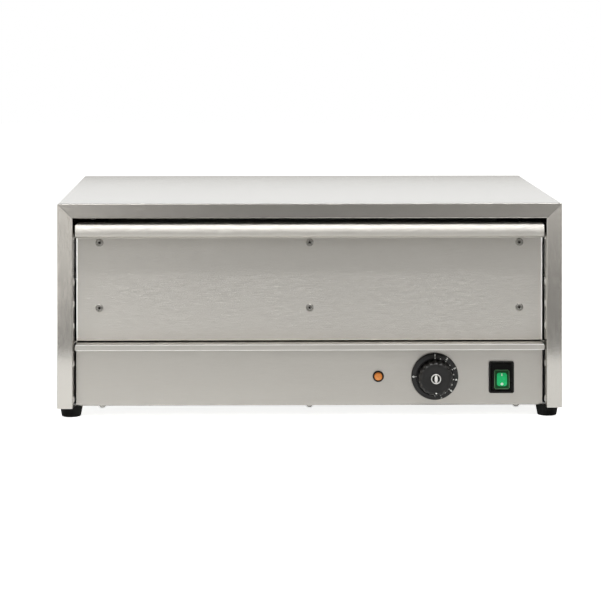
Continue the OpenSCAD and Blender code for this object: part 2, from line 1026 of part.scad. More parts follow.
// The drawer front without its lip: a flat sheet with side and bottom edges folded back
module skin_block(inset) {
  corner = skin_bend - inset;
  x = panel_x - inset;
  depth = inset > 0 ? skin_edge + past : skin_edge;
  intersection() {
    along_z(skin_z + inset, lip_z + skin_t / 2)
      intersection() {
        translate([0, front_set + inset + x])
          round_rect(2 * x, 2 * x, corner);
        translate([-x, front_set])
          square([2 * x, depth]);
      }
    along_x(2 * x)
      translate([front_set + inset + x, skin_z + inset + x])
        round_rect(2 * x, 2 * x, corner);
  }
}

module lip_path_section() {
  folded(lip_path(), skin_t, lip_radii());
}

function lip_path() =
  let (m = skin_t / 2)
  [
    [front_set + m, lip_z - 6],
    [front_set + m, lip_z + m],
    [m, lip_z + m],
    [m, lip_top - m],
    [box_y + m, lip_top - m],
    [box_y + m, box_top + fit_gap]
  ];
function lip_radii() = [2.5, 4.5, min(lip_bend - skin_t / 2, lip_h - 6.5), 1.2];

// Outline of the lip's bead, for its closed ends
module lip_end_section() {
  polygon(concat(bent_line(lip_path(), lip_radii(), skin_t / 2), [[box_y + skin_t, lip_z - 4]]));
}

module drawer_front() {
  end_t = 1.2;
  placed()
    color(steel)
      difference() {
        union() {
          difference() {
            skin_block(0);
            skin_block(skin_t);
          }
          intersection() {
            union() {
              along_x(2 * panel_x)
                lip_path_section();
              both_sides()
                translate([panel_x - end_t / 2, 0, 0])
                  along_x(end_t)
                    intersection() {
                      lip_end_section();
                      translate([0, lip_z])
                        square([front_set + skin_t / 2, lip_h]);
                    }
            }
            along_y(-past, box_y + 10)
              translate([0, lip_top - 50])
                round_rect(2 * panel_x, 100, 2.6);
          }
        }
        skin_rivet_holes();
      }
}

module skin_rivet_holes() {
  for (x = skin_rivet_xs)
    for (z = skin_rivet_zs)
      hole_y([x, box_y, z], rivet_hole, 8);
}

module drawer_rivets() {
  placed()
    color(bright_steel)
      for (x = skin_rivet_xs)
        for (z = skin_rivet_zs)
          translate([x, front_set, z])
            rotate([90, 0, 0])
              rivet(skin_t + box_t, rivet_d, skin_rivet_head);
}

module box_outline(inset) {
  length = rail_end - box_y;
  translate([0, box_y + length / 2])
    round_rect(2 * (box_x - inset), length - 2 * inset, max(0.5, 3 - inset));
}

module drawer_box() {
  placed()
    color(steel)
      difference() {
        along_z(box_z, box_top)
          box_outline(0);
        along_z(box_z + box_t, box_top - box_t)
          box_outline(box_t);
        along_z(box_z - past, box_top + past)
          box_outline(box_t + box_rim);
        skin_rivet_holes();
        both_sides()
          for (y = rail_screw_at)
            hole_x([box_x, rail_y + y, slide_z], rivet_hole, 8);
      }
}

module drawer_floor() {
  rows = 7;
  columns = 15;
  length = rail_end - box_y;
  placed()
    color(bright_steel)
      along_z(box_z + box_t, box_z + box_t + floor_t)
        difference() {
          box_outline(box_t + fit_gap);
          for (row = [0:rows - 1])
            translate([0, box_y + length / 2 + (row - (rows - 1) / 2) * 46])
              vent_row(columns, 27, 32, 6);
        }
}

// A strap under the deck that holds a tube of diameter d, with its middle at height z
module saddle(d, z, width) {
  m = clip_t / 2;
  half = d / 2 + 0.15 + m;
  top = deck_under - m;
  along_x(width)
    folded([[-half - 8, top], [-half, top], [-half, z - half], [half, z - half], [half, top],
      [half + 8, top]], clip_t, [m + tight_bend, half - 0.1, half - 0.1, m + tight_bend]);
}

module element_bend(x, y, left) {
  translate([x, y, element_z])
    rotate([0, 0, left ? 90 : -90])
      rotate_extrude(angle = 180)
        translate([element_pitch / 2, 0])
          circle(d = element_d);
}

module heating_element() {
  half = element_run / 2;
  placed()
    color([0.45, 0.44, 0.42]) {
      for (i = [0:3])
        translate([-half, element_ys[i], element_z])
          rotate([0, 90, 0])
            cylinder(d = element_d, h = (i == 0 || i == 3) ? half + element_end : element_run);
      element_bend(-half, (element_ys[0] + element_ys[1]) / 2, true);
      element_bend(-half, (element_ys[2] + element_ys[3]) / 2, true);
      element_bend(half, (element_ys[1] + element_ys[2]) / 2, false);
      for (i = [0, 3])
        translate([element_end - past, element_ys[i], element_z])
          rotate([0, 90, 0])
            cylinder(d = 3, h = 19);
    }
}

module element_bushes() {
  placed()
    color([0.9, 0.88, 0.82])
      for (i = [0, 3])
        translate([element_end, element_ys[i], element_z])
          rotate([0, 90, 0])
            rotate_extrude()
              polygon([[1.5, 0], [element_d / 2 - 0.3, 0], [element_d / 2 - 0.3, 5], [3, 8], [1.5, 8]]);
}

module element_clips() {
  placed()
    color(bright_steel)
      for (x = [-element_run / 3, element_run / 3])
        for (y = element_ys)
          translate([x, y, 0])
            saddle(element_d, element_z, 10);
}

module heat_shield() {
  m = shield_t / 2;
  x = shield_x;
  top = deck_under - m;
  placed()
    color([0.7, 0.7, 0.69])
      difference() {
        along_y(shield_y0, shield_y1)
          folded([[-x - 12, top], [-x, top], [-x, shield_z + m], [x, shield_z + m], [x, top],
            [x + 12, top]], shield_t, m + tight_bend);
        for (i = [0, 3])
          hole_x([x, element_ys[i], element_z], element_d + 0.6, 10);
      }
}

module thermostat_body() {
  neck_d = spindle_hole - 0.6;
  placed()
    color([0.2, 0.2, 0.2])
      difference() {
        union() {
          along_y(thermo_y, thermo_y + 2)
            translate([knob_x, control_z])
              round_rect(thermo_w, thermo_h - 8, 3);
          along_y(thermo_y + 1.5, thermo_y + thermo_d - 6)
            translate([knob_x, control_z])
              round_rect(thermo_w - 4, thermo_h, 4);
          along_y(thermo_y + thermo_d - 7, thermo_y + thermo_d)
            translate([knob_x, control_z])
              round_rect(thermo_w - 12, thermo_h - 10, 3);
          hole_y([knob_x, thermo_y - 0.5, control_z], neck_d, 2);
          for (x = [-10, 10])
            block([knob_x + x - 3.1, thermo_y + thermo_d - past, control_z - 8],
              [knob_x + x + 3.1, thermo_y + thermo_d + 8, control_z - 7.2]);
        }
        hole_y([knob_x, thermo_y, control_z], spindle_d + 0.1, 24);
        for (side = [-1, 1])
          hole_y([knob_x + side * thermo_screw_x, thermo_y, control_z], screw_hole, 16);
      }
}

module thermostat_screws() {
  placed()
    color(bright_steel)
      for (side = [-1, 1])
        translate([knob_x + side * thermo_screw_x, front_set, control_z])
          rotate([90, 0, 0])
            pan_screw(8, screw_head_d, thermo_head_t, screw_d);
}

// Quarter of a ring of tube, from the X axis round to the Y axis
module elbow(bend_r, d) {
  rotate_extrude(angle = 90)
    translate([bend_r, 0])
      circle(d = d);
}

// The bulb lies along X under the deck, and its capillary runs to the thermostat
module thermostat_bulb() {
  bend_r = 8;
  drop_y = thermo_y + thermo_d / 2 - 1;
  placed()
    color([0.72, 0.5, 0.36]) {
      translate([bulb_x - bulb_len, bulb_y, bulb_z])
        rotate([0, 90, 0])
          cylinder(d = bulb_d, h = bulb_len);
      translate([bulb_x - past, bulb_y, bulb_z])
        rotate([0, 90, 0])
          cylinder(d = capillary_d, h = capillary_x - bulb_x + past - bend_r);
      translate([capillary_x - bend_r, bulb_y - bend_r, bulb_z])
        elbow(bend_r, capillary_d);
      translate([capillary_x, bulb_y - bend_r, bulb_z])
        rotate([90, 0, 0])
          cylinder(d = capillary_d, h = bulb_y - drop_y - 2 * bend_r);
      translate([capillary_x, drop_y + bend_r, bulb_z - bend_r])
        rotate([0, -90, 0])
          rotate([0, 0, -90])
            elbow(bend_r, capillary_d);
      translate([capillary_x, drop_y, thermo_top])
        cylinder(d = capillary_d, h = bulb_z - bend_r - thermo_top);
    }
}

module bulb_clips() {
  placed()
    color(bright_steel)
      for (x = [-bulb_len * 0.8, -bulb_len * 0.25])
        translate([bulb_x + x, bulb_y, 0])
          saddle(bulb_d, bulb_z, 8);
}

module pilot_body() {
  placed()
    color(black)
      translate([lamp_x, front_set, control_z])
        rotate([90, 0, 0])
          rotate_extrude()
            polygon([
              [0, -28],
              [lamp_body_d / 2 - 1, -28],
              [lamp_body_d / 2 - 1, -16],
              [lamp_body_d / 2, -16],
              [lamp_body_d / 2, 0],
              [lamp_d / 2, 0],
              [lamp_d / 2, 1.2],
              [lamp_d / 2 - 0.8, 2],
              [lens_d / 2 + 0.05, 2],
              [lens_d / 2 + 0.05, -5],
              [0, -5]
            ]);
}

module pilot_lens() {
  placed()
    color([0.92, 0.55, 0.2])
      translate([lamp_x, front_set, control_z])
        rotate([90, 0, 0])
          rotate_extrude()
            polygon([
              [0, -5],
              [lens_d / 2, -5],
              [lens_d / 2, 2.2],
              [lens_d / 2 * 0.92, 3],
              [lens_d / 2 * 0.7, 3.7],
              [lens_d / 2 * 0.4, 4.1],
              [0, 4.2]
            ]);
}

module rocker_body() {
  placed()
    color(black)
      difference() {
        union() {
          along_y(front_set - 2.2, front_set)
            translate([switch_x, switch_z])
              round_rect(switch_w, switch_h, 1.8);
          along_y(front_set, front_set + 24)
            translate([switch_x, switch_z])
              square([switch_cut_w - 0.3, switch_cut_h - 0.3], center = true);
          for (z = [-9, 0, 9])
            block([switch_x - 3.1, front_set + 23, switch_z + z - 0.4],
              [switch_x + 3.1, front_set + 32, switch_z + z + 0.4]);
        }
        along_y(front_set - 3, front_set + 13)
          translate([switch_x, switch_z])
            square([rocker_w + 0.8, rocker_h + 1], center = true);
        hole_x([switch_x, rocker_axis_y, switch_z], pivot_d + 0.1, switch_w);
      }
}

// The paddle's two faces meet in a low ridge at its middle, and it tilts on a pin at each side
module rocker_paddle() {
  rise = rocker_rise;
  half = rocker_h / 2;
  placed()
    color(black) {
      hole_x([switch_x, rocker_axis_y, switch_z], pivot_d, switch_cut_w - 0.4);
      translate([switch_x, rocker_axis_y, switch_z])
        rotate([-rocker_tilt, 0, 0])
          difference() {
            along_x(rocker_w)
              polygon([
                [-rise - 1.3, -1.5],
                [-rise - 1.5, 0],
                [-rise - 1.3, 1.5],
                [-rise + 0.3, half - 0.9],
                [-rise + 1.1, half - 0.2],
                [-1, half - 0.6],
                [4, 3],
                [4, -3],
                [-1, -half + 0.6],
                [-rise + 1.1, -half + 0.2],
                [-rise + 0.3, -half + 0.9]
              ]);
            // Pocket for the lens
            along_y(-2 * rise, -lens_floor)
              translate([0, -lens_drop])
                round_rect(rocker_w - 4.2, rocker_h - 8, 2.3);
          }
    }
}

// A green lens with a raised middle, whose face follows the paddle's
module rocker_lens() {
  rise = rocker_rise;
  half = rocker_h / 2;
  placed()
    color([0.1, 0.62, 0.32])
      translate([switch_x, rocker_axis_y, switch_z])
        rotate([-rocker_tilt, 0, 0])
          intersection() {
            union() {
              along_y(-rise - 1.2, -lens_floor)
                translate([0, -lens_drop])
                  round_rect(rocker_w - 4.4, rocker_h - 8.2, 2.2);
              along_y(-rise - 2.6, -lens_floor)
                translate([0, -lens_drop])
                  round_rect(rocker_w - 9.6, rocker_h - 14.4, 2.4);
            }
            along_x(rocker_w)
              polygon([
                [-4, -half],
                [-rise - 1.6, -half + 2],
                [-rise - 2.6, -lens_drop],
                [-rise - 1.8, half - 2],
                [-4, half]
              ]);
          }
}

// The front of the knob's parts, drawn along the spindle's axis from the panel's face
module on_knob() {
  placed()
    translate([knob_x, front_set, control_z])
      rotate([90, 0, 0])
        children();
}

module spindle() {
  length = skirt_out + grip_len - 5;
  color(bright_steel)
    on_knob()
      difference() {
        translate([0, 0, -panel_t - 9])
          cylinder(d = spindle_d, h = length + panel_t + 9);
        // Flat for the knob
        translate([-spindle_d, spindle_d / 2 - 1.2, skirt_out - 2])
          cube([2 * spindle_d, spindle_d, length]);
      }
}

// A round outline with flutes, as points on a wave round a circle
function fluted(r, depth, count) =
  [for (i = [0:count * 8 - 1])
    let (a = i * 45 / count)
    (r - depth * (1 + cos(a * count)) / 2) * [cos(a), sin(a)]];

module knob() {
  grip_r = grip_d / 2;
  top = skirt_out + grip_len;
  color(black)
    on_knob()
      difference() {
        union() {
          rotate_extrude()
            polygon([
              [0, 0.6],
              [knob_d / 2 - 1.2, 0.6],
              [knob_d / 2, 1.6],
              [knob_d / 2 - 0.4, skirt_out - 2],
              [grip_r + 1.8, skirt_out],
              [0, skirt_out]
            ]);
          intersection() {
            translate([0, 0, skirt_out - past])
              linear_extrude(grip_len + past)
                polygon(fluted(grip_r, 0.9, flute_count));
            // The grip's rounded rim and shallow dish
            rotate_extrude()
              polygon([
                [0, 0],
                [grip_r + 3, 0],
                [grip_r + 0.1, top - 5],
                [grip_r - 0.8, top - 2.2],
                [grip_r - 2.4, top - 0.6],
                [grip_r - 4.4, top],
                [grip_r - 6, top - 0.2],
                [8.6, top - 1.4],
                [6.4, top - 1.6],
                [0, top - 1.6]
              ]);
          }
        }
        // Hollow back, with room for the fixing screws' heads and a boss round the spindle
        translate([0, 0, -past])
          difference() {
            union() {
              cylinder(r = grip_r - 2.6, h = top - 5.4 + past);
              cylinder(r = thermo_screw_x + screw_head_d / 2 + 2 * fit_gap,
                h = thermo_head_t + 2 * fit_gap + past);
            }
            cylinder(d = spindle_d + 5, h = top);
          }
        translate([0, 0, -past])
          intersection() {
            cylinder(d = spindle_d + 0.06, h = top - 5 + past);
            translate([-spindle_d, -spindle_d, 0])
              cube([2 * spindle_d, 1.5 * spindle_d - 1.17, top]);
          }
        translate([0, 0, -past])
          cylinder(d = spindle_d + 0.06, h = skirt_out - 2 + past);
        // Seat of the cap
        translate([0, 0, top - 2.8])
          cylinder(d = 10.1, h = 4);
      }
}

// Chromed ring round a slotted screw head
module knob_cap() {
  top = skirt_out + grip_len;
  color(bright_steel)
    on_knob()
      translate([0, 0, top - 2.8])
        difference() {
          rotate_extrude()
            polygon([[0, 0], [5, 0], [5, 1.9], [4.6, 2.3], [4.1, 2.3], [3.8, 1.6], [3.6, 0.9], [3, 0.9],
              [2.9, 1.5], [0, 1.7]]);
          translate([-0.45, -3.4, 1])
            cube([0.9, 6.8, 3]);
        }
}

module terminal_block() {
  pole = terminal_w / 3;
  placed()
    color([0.86, 0.84, 0.78])
      translate([terminal_x, terminal_y, pan_z])
        difference() {
          translate([-terminal_w / 2, -terminal_d / 2, 0])
            cube([terminal_w, terminal_d, terminal_h]);
          for (i = [-1:1]) {
            hole_y([i * pole, 0, 7], 5, terminal_d + 2 * past);
            translate([i * pole, 0, 7])
              cylinder(d = 6.4, h = terminal_h);
          }
          for (i = [-0.5, 0.5])
            translate([i * pole - 0.8, -terminal_d / 2 - past, 11])
              cube([1.6, terminal_d + 2 * past, terminal_h]);
        }
}

module terminal_screws() {
  pole = terminal_w / 3;
  placed()
    color([0.8, 0.68, 0.36])
      translate([terminal_x, terminal_y, pan_z])
        for (i = [-1:1])
          translate([i * pole, 0, 9.8])
            difference() {
              cylinder(d = 6, h = 4);
              translate([-4, -0.5, 3])
                cube([8, 1, 2]);
            }
}

module on_gland() {
  placed()
    translate([gland_x, body_d + back_t, gland_z])
      rotate([-90, 0, 0])
        children();
}

module cable_gland() {
  color(black)
    on_gland()
      difference() {
        union() {
          translate([0, 0, -14])
            cylinder(d = gland_d, h = 15);
          cylinder(d = gland_hex / cos(30), h = 5, $fn = 6);
          translate([0, 0, 4])
            cylinder(d = gland_hex - 2, h = 7);
          translate([0, 0, 11])
            cylinder(d1 = gland_hex - 2, d2 = gland_hex - 10, h = gland_out - 11);
        }
        translate([0, 0, -15])
          cylinder(d = gland_bore, h = gland_out + 20);
      }
}

module gland_nut() {
  color(black)
    on_gland()
      translate([0, 0, -back_t - 5])
        hex_nut(gland_hex, 5, gland_d + 0.04);
}

module earth_stud() {
  placed()
    color([0.8, 0.68, 0.36])
      translate([earth_x, earth_y, 0]) {
        translate([0, 0, shell_t])
          rotate([180, 0, 0])
            cylinder(d = 6.8, h = 1);
        cylinder(d = screw_d, h = 15);
        translate([0, 0, pan_z])
          difference() {
            cylinder(d = 8.1, h = 3.2, $fn = 6);
            translate([0, 0, -past])
              cylinder(d = screw_d - 0.2, h = 6);
          }
      }
}

// Points of a route in space with each corner rounded at radius r
function rounded_route(p, r) =
  let (last = len(p) - 1)
  concat(
    [p[0]],
    [for (i = [1:last - 1])
      let (u = unit(p[i - 1] - p[i]))
      let (w = unit(p[i + 1] - p[i]))
      for (k = [0:3])
        let (f = k / 3)
        p[i] + r * (u * (1 - f) * (1 - f) + w * f * f)],
    [p[last]]
  );
// Directions along a route at each of its points
function headings(p) =
  [for (i = [0:len(p) - 1]) unit(p[min(i + 1, len(p) - 1)] - p[max(i - 1, 0)])];
// A side direction carried along the route without twist
function carried(h, i) =
  let (old = i == 0 ? (abs(h[0][2]) < 0.9 ? [0, 0, 1] : [1, 0, 0]) : carried(h, i - 1))
  unit(old - (old * h[i]) * h[i]);

module tube(route, r, d) {
  p = rounded_route(route, r);
  h = headings(p);
  sides = 8;
  points = [for (i = [0:len(p) - 1])
    let (n = carried(h, i))
    let (b = cross(h[i], n))
    for (k = [0:sides - 1]) p[i] + d / 2 * (n * cos(k * 45) + b * sin(k * 45))];
  walls = [for (i = [0:len(p) - 2])
    for (k = [0:sides - 1])
      let (a = i * sides + k)
      let (c = i * sides + (k + 1) % sides)
      for (t = [0, 1]) t == 0 ? [a, c + sides, c] : [a, a + sides, c + sides]];
  ends = [for (k = [1:sides - 2])
    for (t = [0, 1]) t == 0 ? [0, k, k + 1]
      : [len(points) - sides, len(points) - sides + k + 1, len(points) - sides + k]];
  polyhedron(points, concat(walls, ends));
}

// Insulated wires that lie on the base pan, between the terminals, controls and element
module wiring() {
  wire = 2.6;
  lie = pan_z + wire / 2 + 0.2;
  pole = terminal_w / 3;
  front = terminal_y - terminal_d / 2 + 2;
  placed()
    color([0.75, 0.2, 0.15]) {
      tube([[terminal_x - pole, front, pan_z + 7], [terminal_x - pole, front - 22, lie],
        [terminal_x - pole, 78, lie], [switch_x, 78, lie], [switch_x, 66, switch_z - 9],
        [switch_x, front_set + 32.3, switch_z - 9]], 6, wire);
      tube([[switch_x, front_set + 32.3, switch_z], [switch_x, 58, switch_z],
        [knob_x + 10, 70, control_z - 7.6], [knob_x + 10, thermo_y + thermo_d + 8.3, control_z - 7.6]],
        5, wire);
      tube([[knob_x - 10, thermo_y + thermo_d + 8.3, control_z - 7.6],
        [knob_x - 10, 84, control_z - 7.6], [knob_x - 10, 90, lie], [shield_x + 42, 90, lie],
        [shield_x + 42, element_ys[0], lie], [element_end + 18 - wire, element_ys[0], lie + 10],
        [element_end + 18 - wire / 2, element_ys[0], element_z - 1.8]], 5, wire);
      tube([[terminal_x + pole, front, pan_z + 7], [terminal_x + pole, front - 14, lie],
        [terminal_x + pole, shield_y1 + 12, lie], [element_end + 18, shield_y1 + 12, lie],
        [element_end + 18, element_ys[3], element_z - 2.4]], 6, wire);
    }
}

outer_shell();
back_panel();
base_pan();
inner_liner();
liner_back();
deck_plate();
control_panel();
feet();
foot_screws();
liner_rivets();
base_screws();
back_screws();
drawer_buffers();
cabinet_rail_left();
cabinet_rail_right();
rail_screws();
heating_element();
element_bushes();
element_clips();
heat_shield();
thermostat_body();
thermostat_screws();
thermostat_bulb();
bulb_clips();
pilot_body();
pilot_lens();
rocker_body();
terminal_block();
terminal_screws();
cable_gland();
gland_nut();
earth_stud();
wiring();
spindle();
knob();
knob_cap();
rocker_paddle();
rocker_lens();
mid_rail_left();
mid_rail_right();
outer_cage_left();
outer_cage_right();
outer_balls();
inner_cage_left();
inner_cage_right();
inner_balls();
drawer_front();
drawer_box();
drawer_floor();
drawer_rivets();
drawer_rail_left();
drawer_rail_right();
drawer_rail_rivets();
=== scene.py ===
# %% [markdown]
# # A bun warmer, dressed for its photograph
# The cabinet, drawer, slides and controls are already solid models. This lesson loads them as a fixed
# frame, sets up the camera and the studio, gives each part its real finish, and models again what solids
# leave plain: the fluted knob and its printed dial, the rivets' domes, the lamp, and soft edges all over.

# %% Load the frame
import json
import math

import bpy
import bmesh
from mathutils import Matrix, Vector


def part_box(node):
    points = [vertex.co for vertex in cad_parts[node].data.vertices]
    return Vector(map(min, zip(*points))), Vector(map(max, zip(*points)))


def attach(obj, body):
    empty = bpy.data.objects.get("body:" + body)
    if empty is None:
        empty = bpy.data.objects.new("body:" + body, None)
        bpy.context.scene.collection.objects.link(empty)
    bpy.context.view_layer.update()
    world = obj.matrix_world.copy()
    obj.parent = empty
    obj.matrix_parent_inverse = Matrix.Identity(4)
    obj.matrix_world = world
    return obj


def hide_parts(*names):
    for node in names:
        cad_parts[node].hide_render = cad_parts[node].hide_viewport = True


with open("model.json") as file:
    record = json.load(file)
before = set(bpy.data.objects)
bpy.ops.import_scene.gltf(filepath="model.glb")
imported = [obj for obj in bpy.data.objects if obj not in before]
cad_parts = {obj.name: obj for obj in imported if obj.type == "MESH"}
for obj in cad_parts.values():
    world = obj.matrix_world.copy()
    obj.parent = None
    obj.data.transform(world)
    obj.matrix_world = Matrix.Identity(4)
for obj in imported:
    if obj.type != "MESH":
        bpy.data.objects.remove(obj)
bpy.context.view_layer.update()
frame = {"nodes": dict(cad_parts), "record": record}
nodes = frame["nodes"]


# %% [markdown]
# ## The camera
# The photograph was taken from a little above the cabinet's top with the camera held level: all upright
# edges stay upright in it. A camera that looks straight ahead and shifts its frame down keeps them so. Its
# focal length and place were worked out from the four corners of the front and the two rear ones.

# %% Camera
MM = 0.001
FRONT_Y = -0.210
SENSOR_MM = 36
FOCAL_MM = 149.45
LEVEL = math.radians(90)
VIEW_TURN = math.radians(-1.06)
CAMERA_X, CAMERA_AWAY, CAMERA_Z = -0.056, 2.506, 0.416
FRAME_SHIFT = -0.4914
SEEN_TO = 50

bpy.ops.object.camera_add(location=(CAMERA_X, FRONT_Y - CAMERA_AWAY, CAMERA_Z),
                          rotation=(LEVEL, 0, VIEW_TURN))
camera = bpy.context.object
camera.data.sensor_width = SENSOR_MM
camera.data.lens = FOCAL_MM
camera.data.shift_y = FRAME_SHIFT
camera.data.clip_end = SEEN_TO
bpy.context.scene.camera = camera
print("camera at", tuple(round(value, 3) for value in camera.location))

# %% [markdown]
# ## Shader maths as plain expressions
# A material in Blender is a graph of nodes. Written by hand, a formula of five terms takes fifteen lines.
# The small class here wraps one socket, and each of Python's operators adds the Math node that does the
# same. A second class holds one material and adds any other kind of node to it.

# %% Values and finishes
NOISE_TURN = (0.6, 0.8, 0.4)
# The Mix node has sockets of one name for every kind of data, and only their numbers tell them apart
NORMAL_A, NORMAL_B, MIXED_NORMAL = 4, 5, 1
COLOUR_A, COLOUR_B, MIXED_COLOUR = 6, 7, 2


class Value:
    """A number that varies over a surface: one socket of a finish's graph."""

    def __init__(self, finish, socket):
        self.finish, self.socket = finish, socket

    def maths(self, operation, *others):
        return self.finish.node("Math", {"operation": operation}, [self, *others])

    def __add__(self, other):
        return self.maths("ADD", other)

    def __sub__(self, other):
        return self.maths("SUBTRACT", other)

    def __rsub__(self, other):
        return self.finish.node("Math", {"operation": "SUBTRACT"}, [other, self])

    def __mul__(self, other):
        return self.maths("MULTIPLY", other)

    def __lt__(self, other):
        return self.maths("LESS_THAN", other)

    def __gt__(self, other):
        return self.maths("GREATER_THAN", other)

    def __pow__(self, other):
        return self.maths("POWER", other)

    def __abs__(self):
        return self.maths("ABSOLUTE")


def linear(red, green, blue):
    """A screen colour, from 0 to 255, as the light that a shader works with, by the sRGB curve."""
    shares = [channel / 255 for channel in (red, green, blue)]
    return [share / 12.92 if share < 0.04045 else ((share + 0.055) / 1.055) ** 2.4 for share in shares]


class Finish:
    """One material, whose Principled shader takes fixed values and the graphs added here."""

    def __init__(self, name, colour, roughness, **fixed):
        self.material = bpy.data.materials.new(name)
        self.material.use_nodes = True
        self.graph = self.material.node_tree
        self.shader = self.graph.nodes["Principled BSDF"]
        self.place = self.node("TexCoord", {}, [], "Object")
        self.colour = colour
        self.shader.inputs["Base Color"].default_value = (*colour, 1)
        self.shader.inputs["Roughness"].default_value = roughness
        for socket, value in fixed.items():
            self.shader.inputs[socket.replace("_", " ")].default_value = value
        self.material.diffuse_color = (*colour, 1)

    def node(self, kind, settings, inputs, output=0):
        """Adds a node: its settings first, then its inputs in order, each a Value or a plain number."""
        made = self.graph.nodes.new("ShaderNode" + kind)
        for setting, value in settings.items():
            setattr(made, setting, value)
        pairs = inputs.items() if isinstance(inputs, dict) else enumerate(inputs)
        for key, value in pairs:
            if isinstance(value, Value):
                self.graph.links.new(value.socket, made.inputs[key])
            elif value is not None:
                made.inputs[key].default_value = value
        return Value(self, made.outputs[output])

    def feed(self, socket, value):
        self.graph.links.new(value.socket, self.shader.inputs[socket])

    def part(self, axis):
        """One coordinate of the place on the object, in metres."""
        return self.node("SeparateXYZ", {}, [self.place], axis)

    def stretched(self, scale, at=(0, 0, 0)):
        """
        The place, with each direction scaled by itself: a small scale draws a pattern out that way. The
        turn after it keeps the noise's own lattice from lining up with the object and showing as bands.
        """
        return self.node("Mapping", {}, {"Vector": self.place, "Scale": scale, "Location": at,
                                         "Rotation": NOISE_TURN})

    def noise(self, scale, detail=2.0, at=(0, 0, 0)):
        """Smooth noise about 0.5, with that many blobs per metre in each direction."""
        return self.node("TexNoise", {}, {"Vector": self.stretched(scale, at), "Scale": 1.0,
                                          "Detail": detail})

    def mix(self, factor, first, second):
        """A colour between two colours, each a Value or a plain colour."""
        first, second = [value if isinstance(value, Value) else (*value, 1) for value in (first, second)]
        return self.node("Mix", {"data_type": "RGBA"},
                         {"Factor": factor, COLOUR_A: first, COLOUR_B: second}, MIXED_COLOUR)

    def mix_normals(self, factor, first, second):
        """A direction between two directions."""
        return self.node("Mix", {"data_type": "VECTOR"},
                         {"Factor": factor, NORMAL_A: first, NORMAL_B: second}, MIXED_NORMAL)

    def shaded(self, amount, value):
        """The finish's own colour, darker and lighter by that share as value goes from 0 to 1."""
        dark = [channel * (1 - amount) for channel in self.colour]
        light = [channel * (1 + amount) for channel in self.colour]
        return self.mix(value, dark, light)

    def bump(self, height, depth):
        """A Bump node for a height from 0 to 1, over a depth in metres."""
        self.feed("Normal", self.node("Bump", {}, {"Height": height, "Distance": depth, "Strength": 1.0}))


print("shader maths ready; mid grey is", [round(channel, 3) for channel in linear(128, 128, 128)])

# %% [markdown]
# ## The studio
# The cabinet stands on a white table in a white sweep. Bright metal mirrors what stands in front of it,
# so the upright flanges are bright near the table and dark above: they show first the table, then the
# darker room past its edge, which is lighter at the left. That room is a card that only reflections see,
# and so is a low dim card behind, which makes the top darker towards the back.

# %% Studio: table, sweep and world
TABLE_HALF = 6
TABLE_EDGE_Y = FRONT_Y - 0.43
TABLE_ALBEDO = linear(236, 236, 235)
TABLE_CAMERA_GLOW = 1.0
TABLE_MIRROR_GLOW = 0.2
ROOM_HALF = 5
ROOM_HEIGHT = 2.2
ROOM_FLOOR_Z = 0.002
ROOM_COLOUR = linear(250, 248, 245)
REAR_HALF = 0.7
REAR_Y = 0.25
REAR_FOOT, REAR_TOP = 0.19, 0.242
BLACK = (0, 0, 0)
WHITE = (1, 1, 1)
WORLD_LIGHT = 0.45
CARD_HALF = 1.5
# The light that a mirror finds at places from left to right, in metres and shares of the glow
TABLE_STOPS = ((-1.5, 1.1), (-0.3, 0.85), (0.3, 0.1), (1.5, 0.0))
ROOM_STOPS = ((-1.5, 1.1), (-0.84, 1.8), (-0.68, 1.25), (-0.54, 1.0), (-0.44, 0.3), (-0.28, 0.22),
              (0.0, 0.28), (0.4, 0.27), (0.6, 0.45), (1.5, 0.9))
REAR_STOPS = ((-1.5, 0.66), (1.5, 0.66))


def summed(graph, operation, *inputs):
    """A Math node on sockets or plain numbers."""
    made = graph.nodes.new("ShaderNodeMath")
    made.operation = operation
    for slot, value in enumerate(inputs):
        if isinstance(value, (int, float)):
            made.inputs[slot].default_value = value
        else:
            graph.links.new(value, made.inputs[slot])
    return made.outputs[0]


def by_place(graph, stops):
    """A grey that follows the stops from left to right, as a share of the largest one."""
    place = graph.nodes.new("ShaderNodeTexCoord")
    parts = graph.nodes.new("ShaderNodeSeparateXYZ")
    graph.links.new(place.outputs["Object"], parts.inputs[0])
    share = summed(graph, "MULTIPLY_ADD", parts.outputs[0], 0.5 / CARD_HALF, 0.5)
    ramp = graph.nodes.new("ShaderNodeValToRGB")
    graph.links.new(share, ramp.inputs[0])
    brightest = max(level for at, level in stops)
    elements = ramp.color_ramp.elements
    while len(elements) < len(stops):
        elements.new(1.0)
    for element, (at, level) in zip(elements, stops):
        element.position = 0.5 + 0.5 * at / CARD_HALF
        element.color = (level / brightest, level / brightest, level / brightest, 1)
    return summed(graph, "MULTIPLY", ramp.outputs[0], brightest)


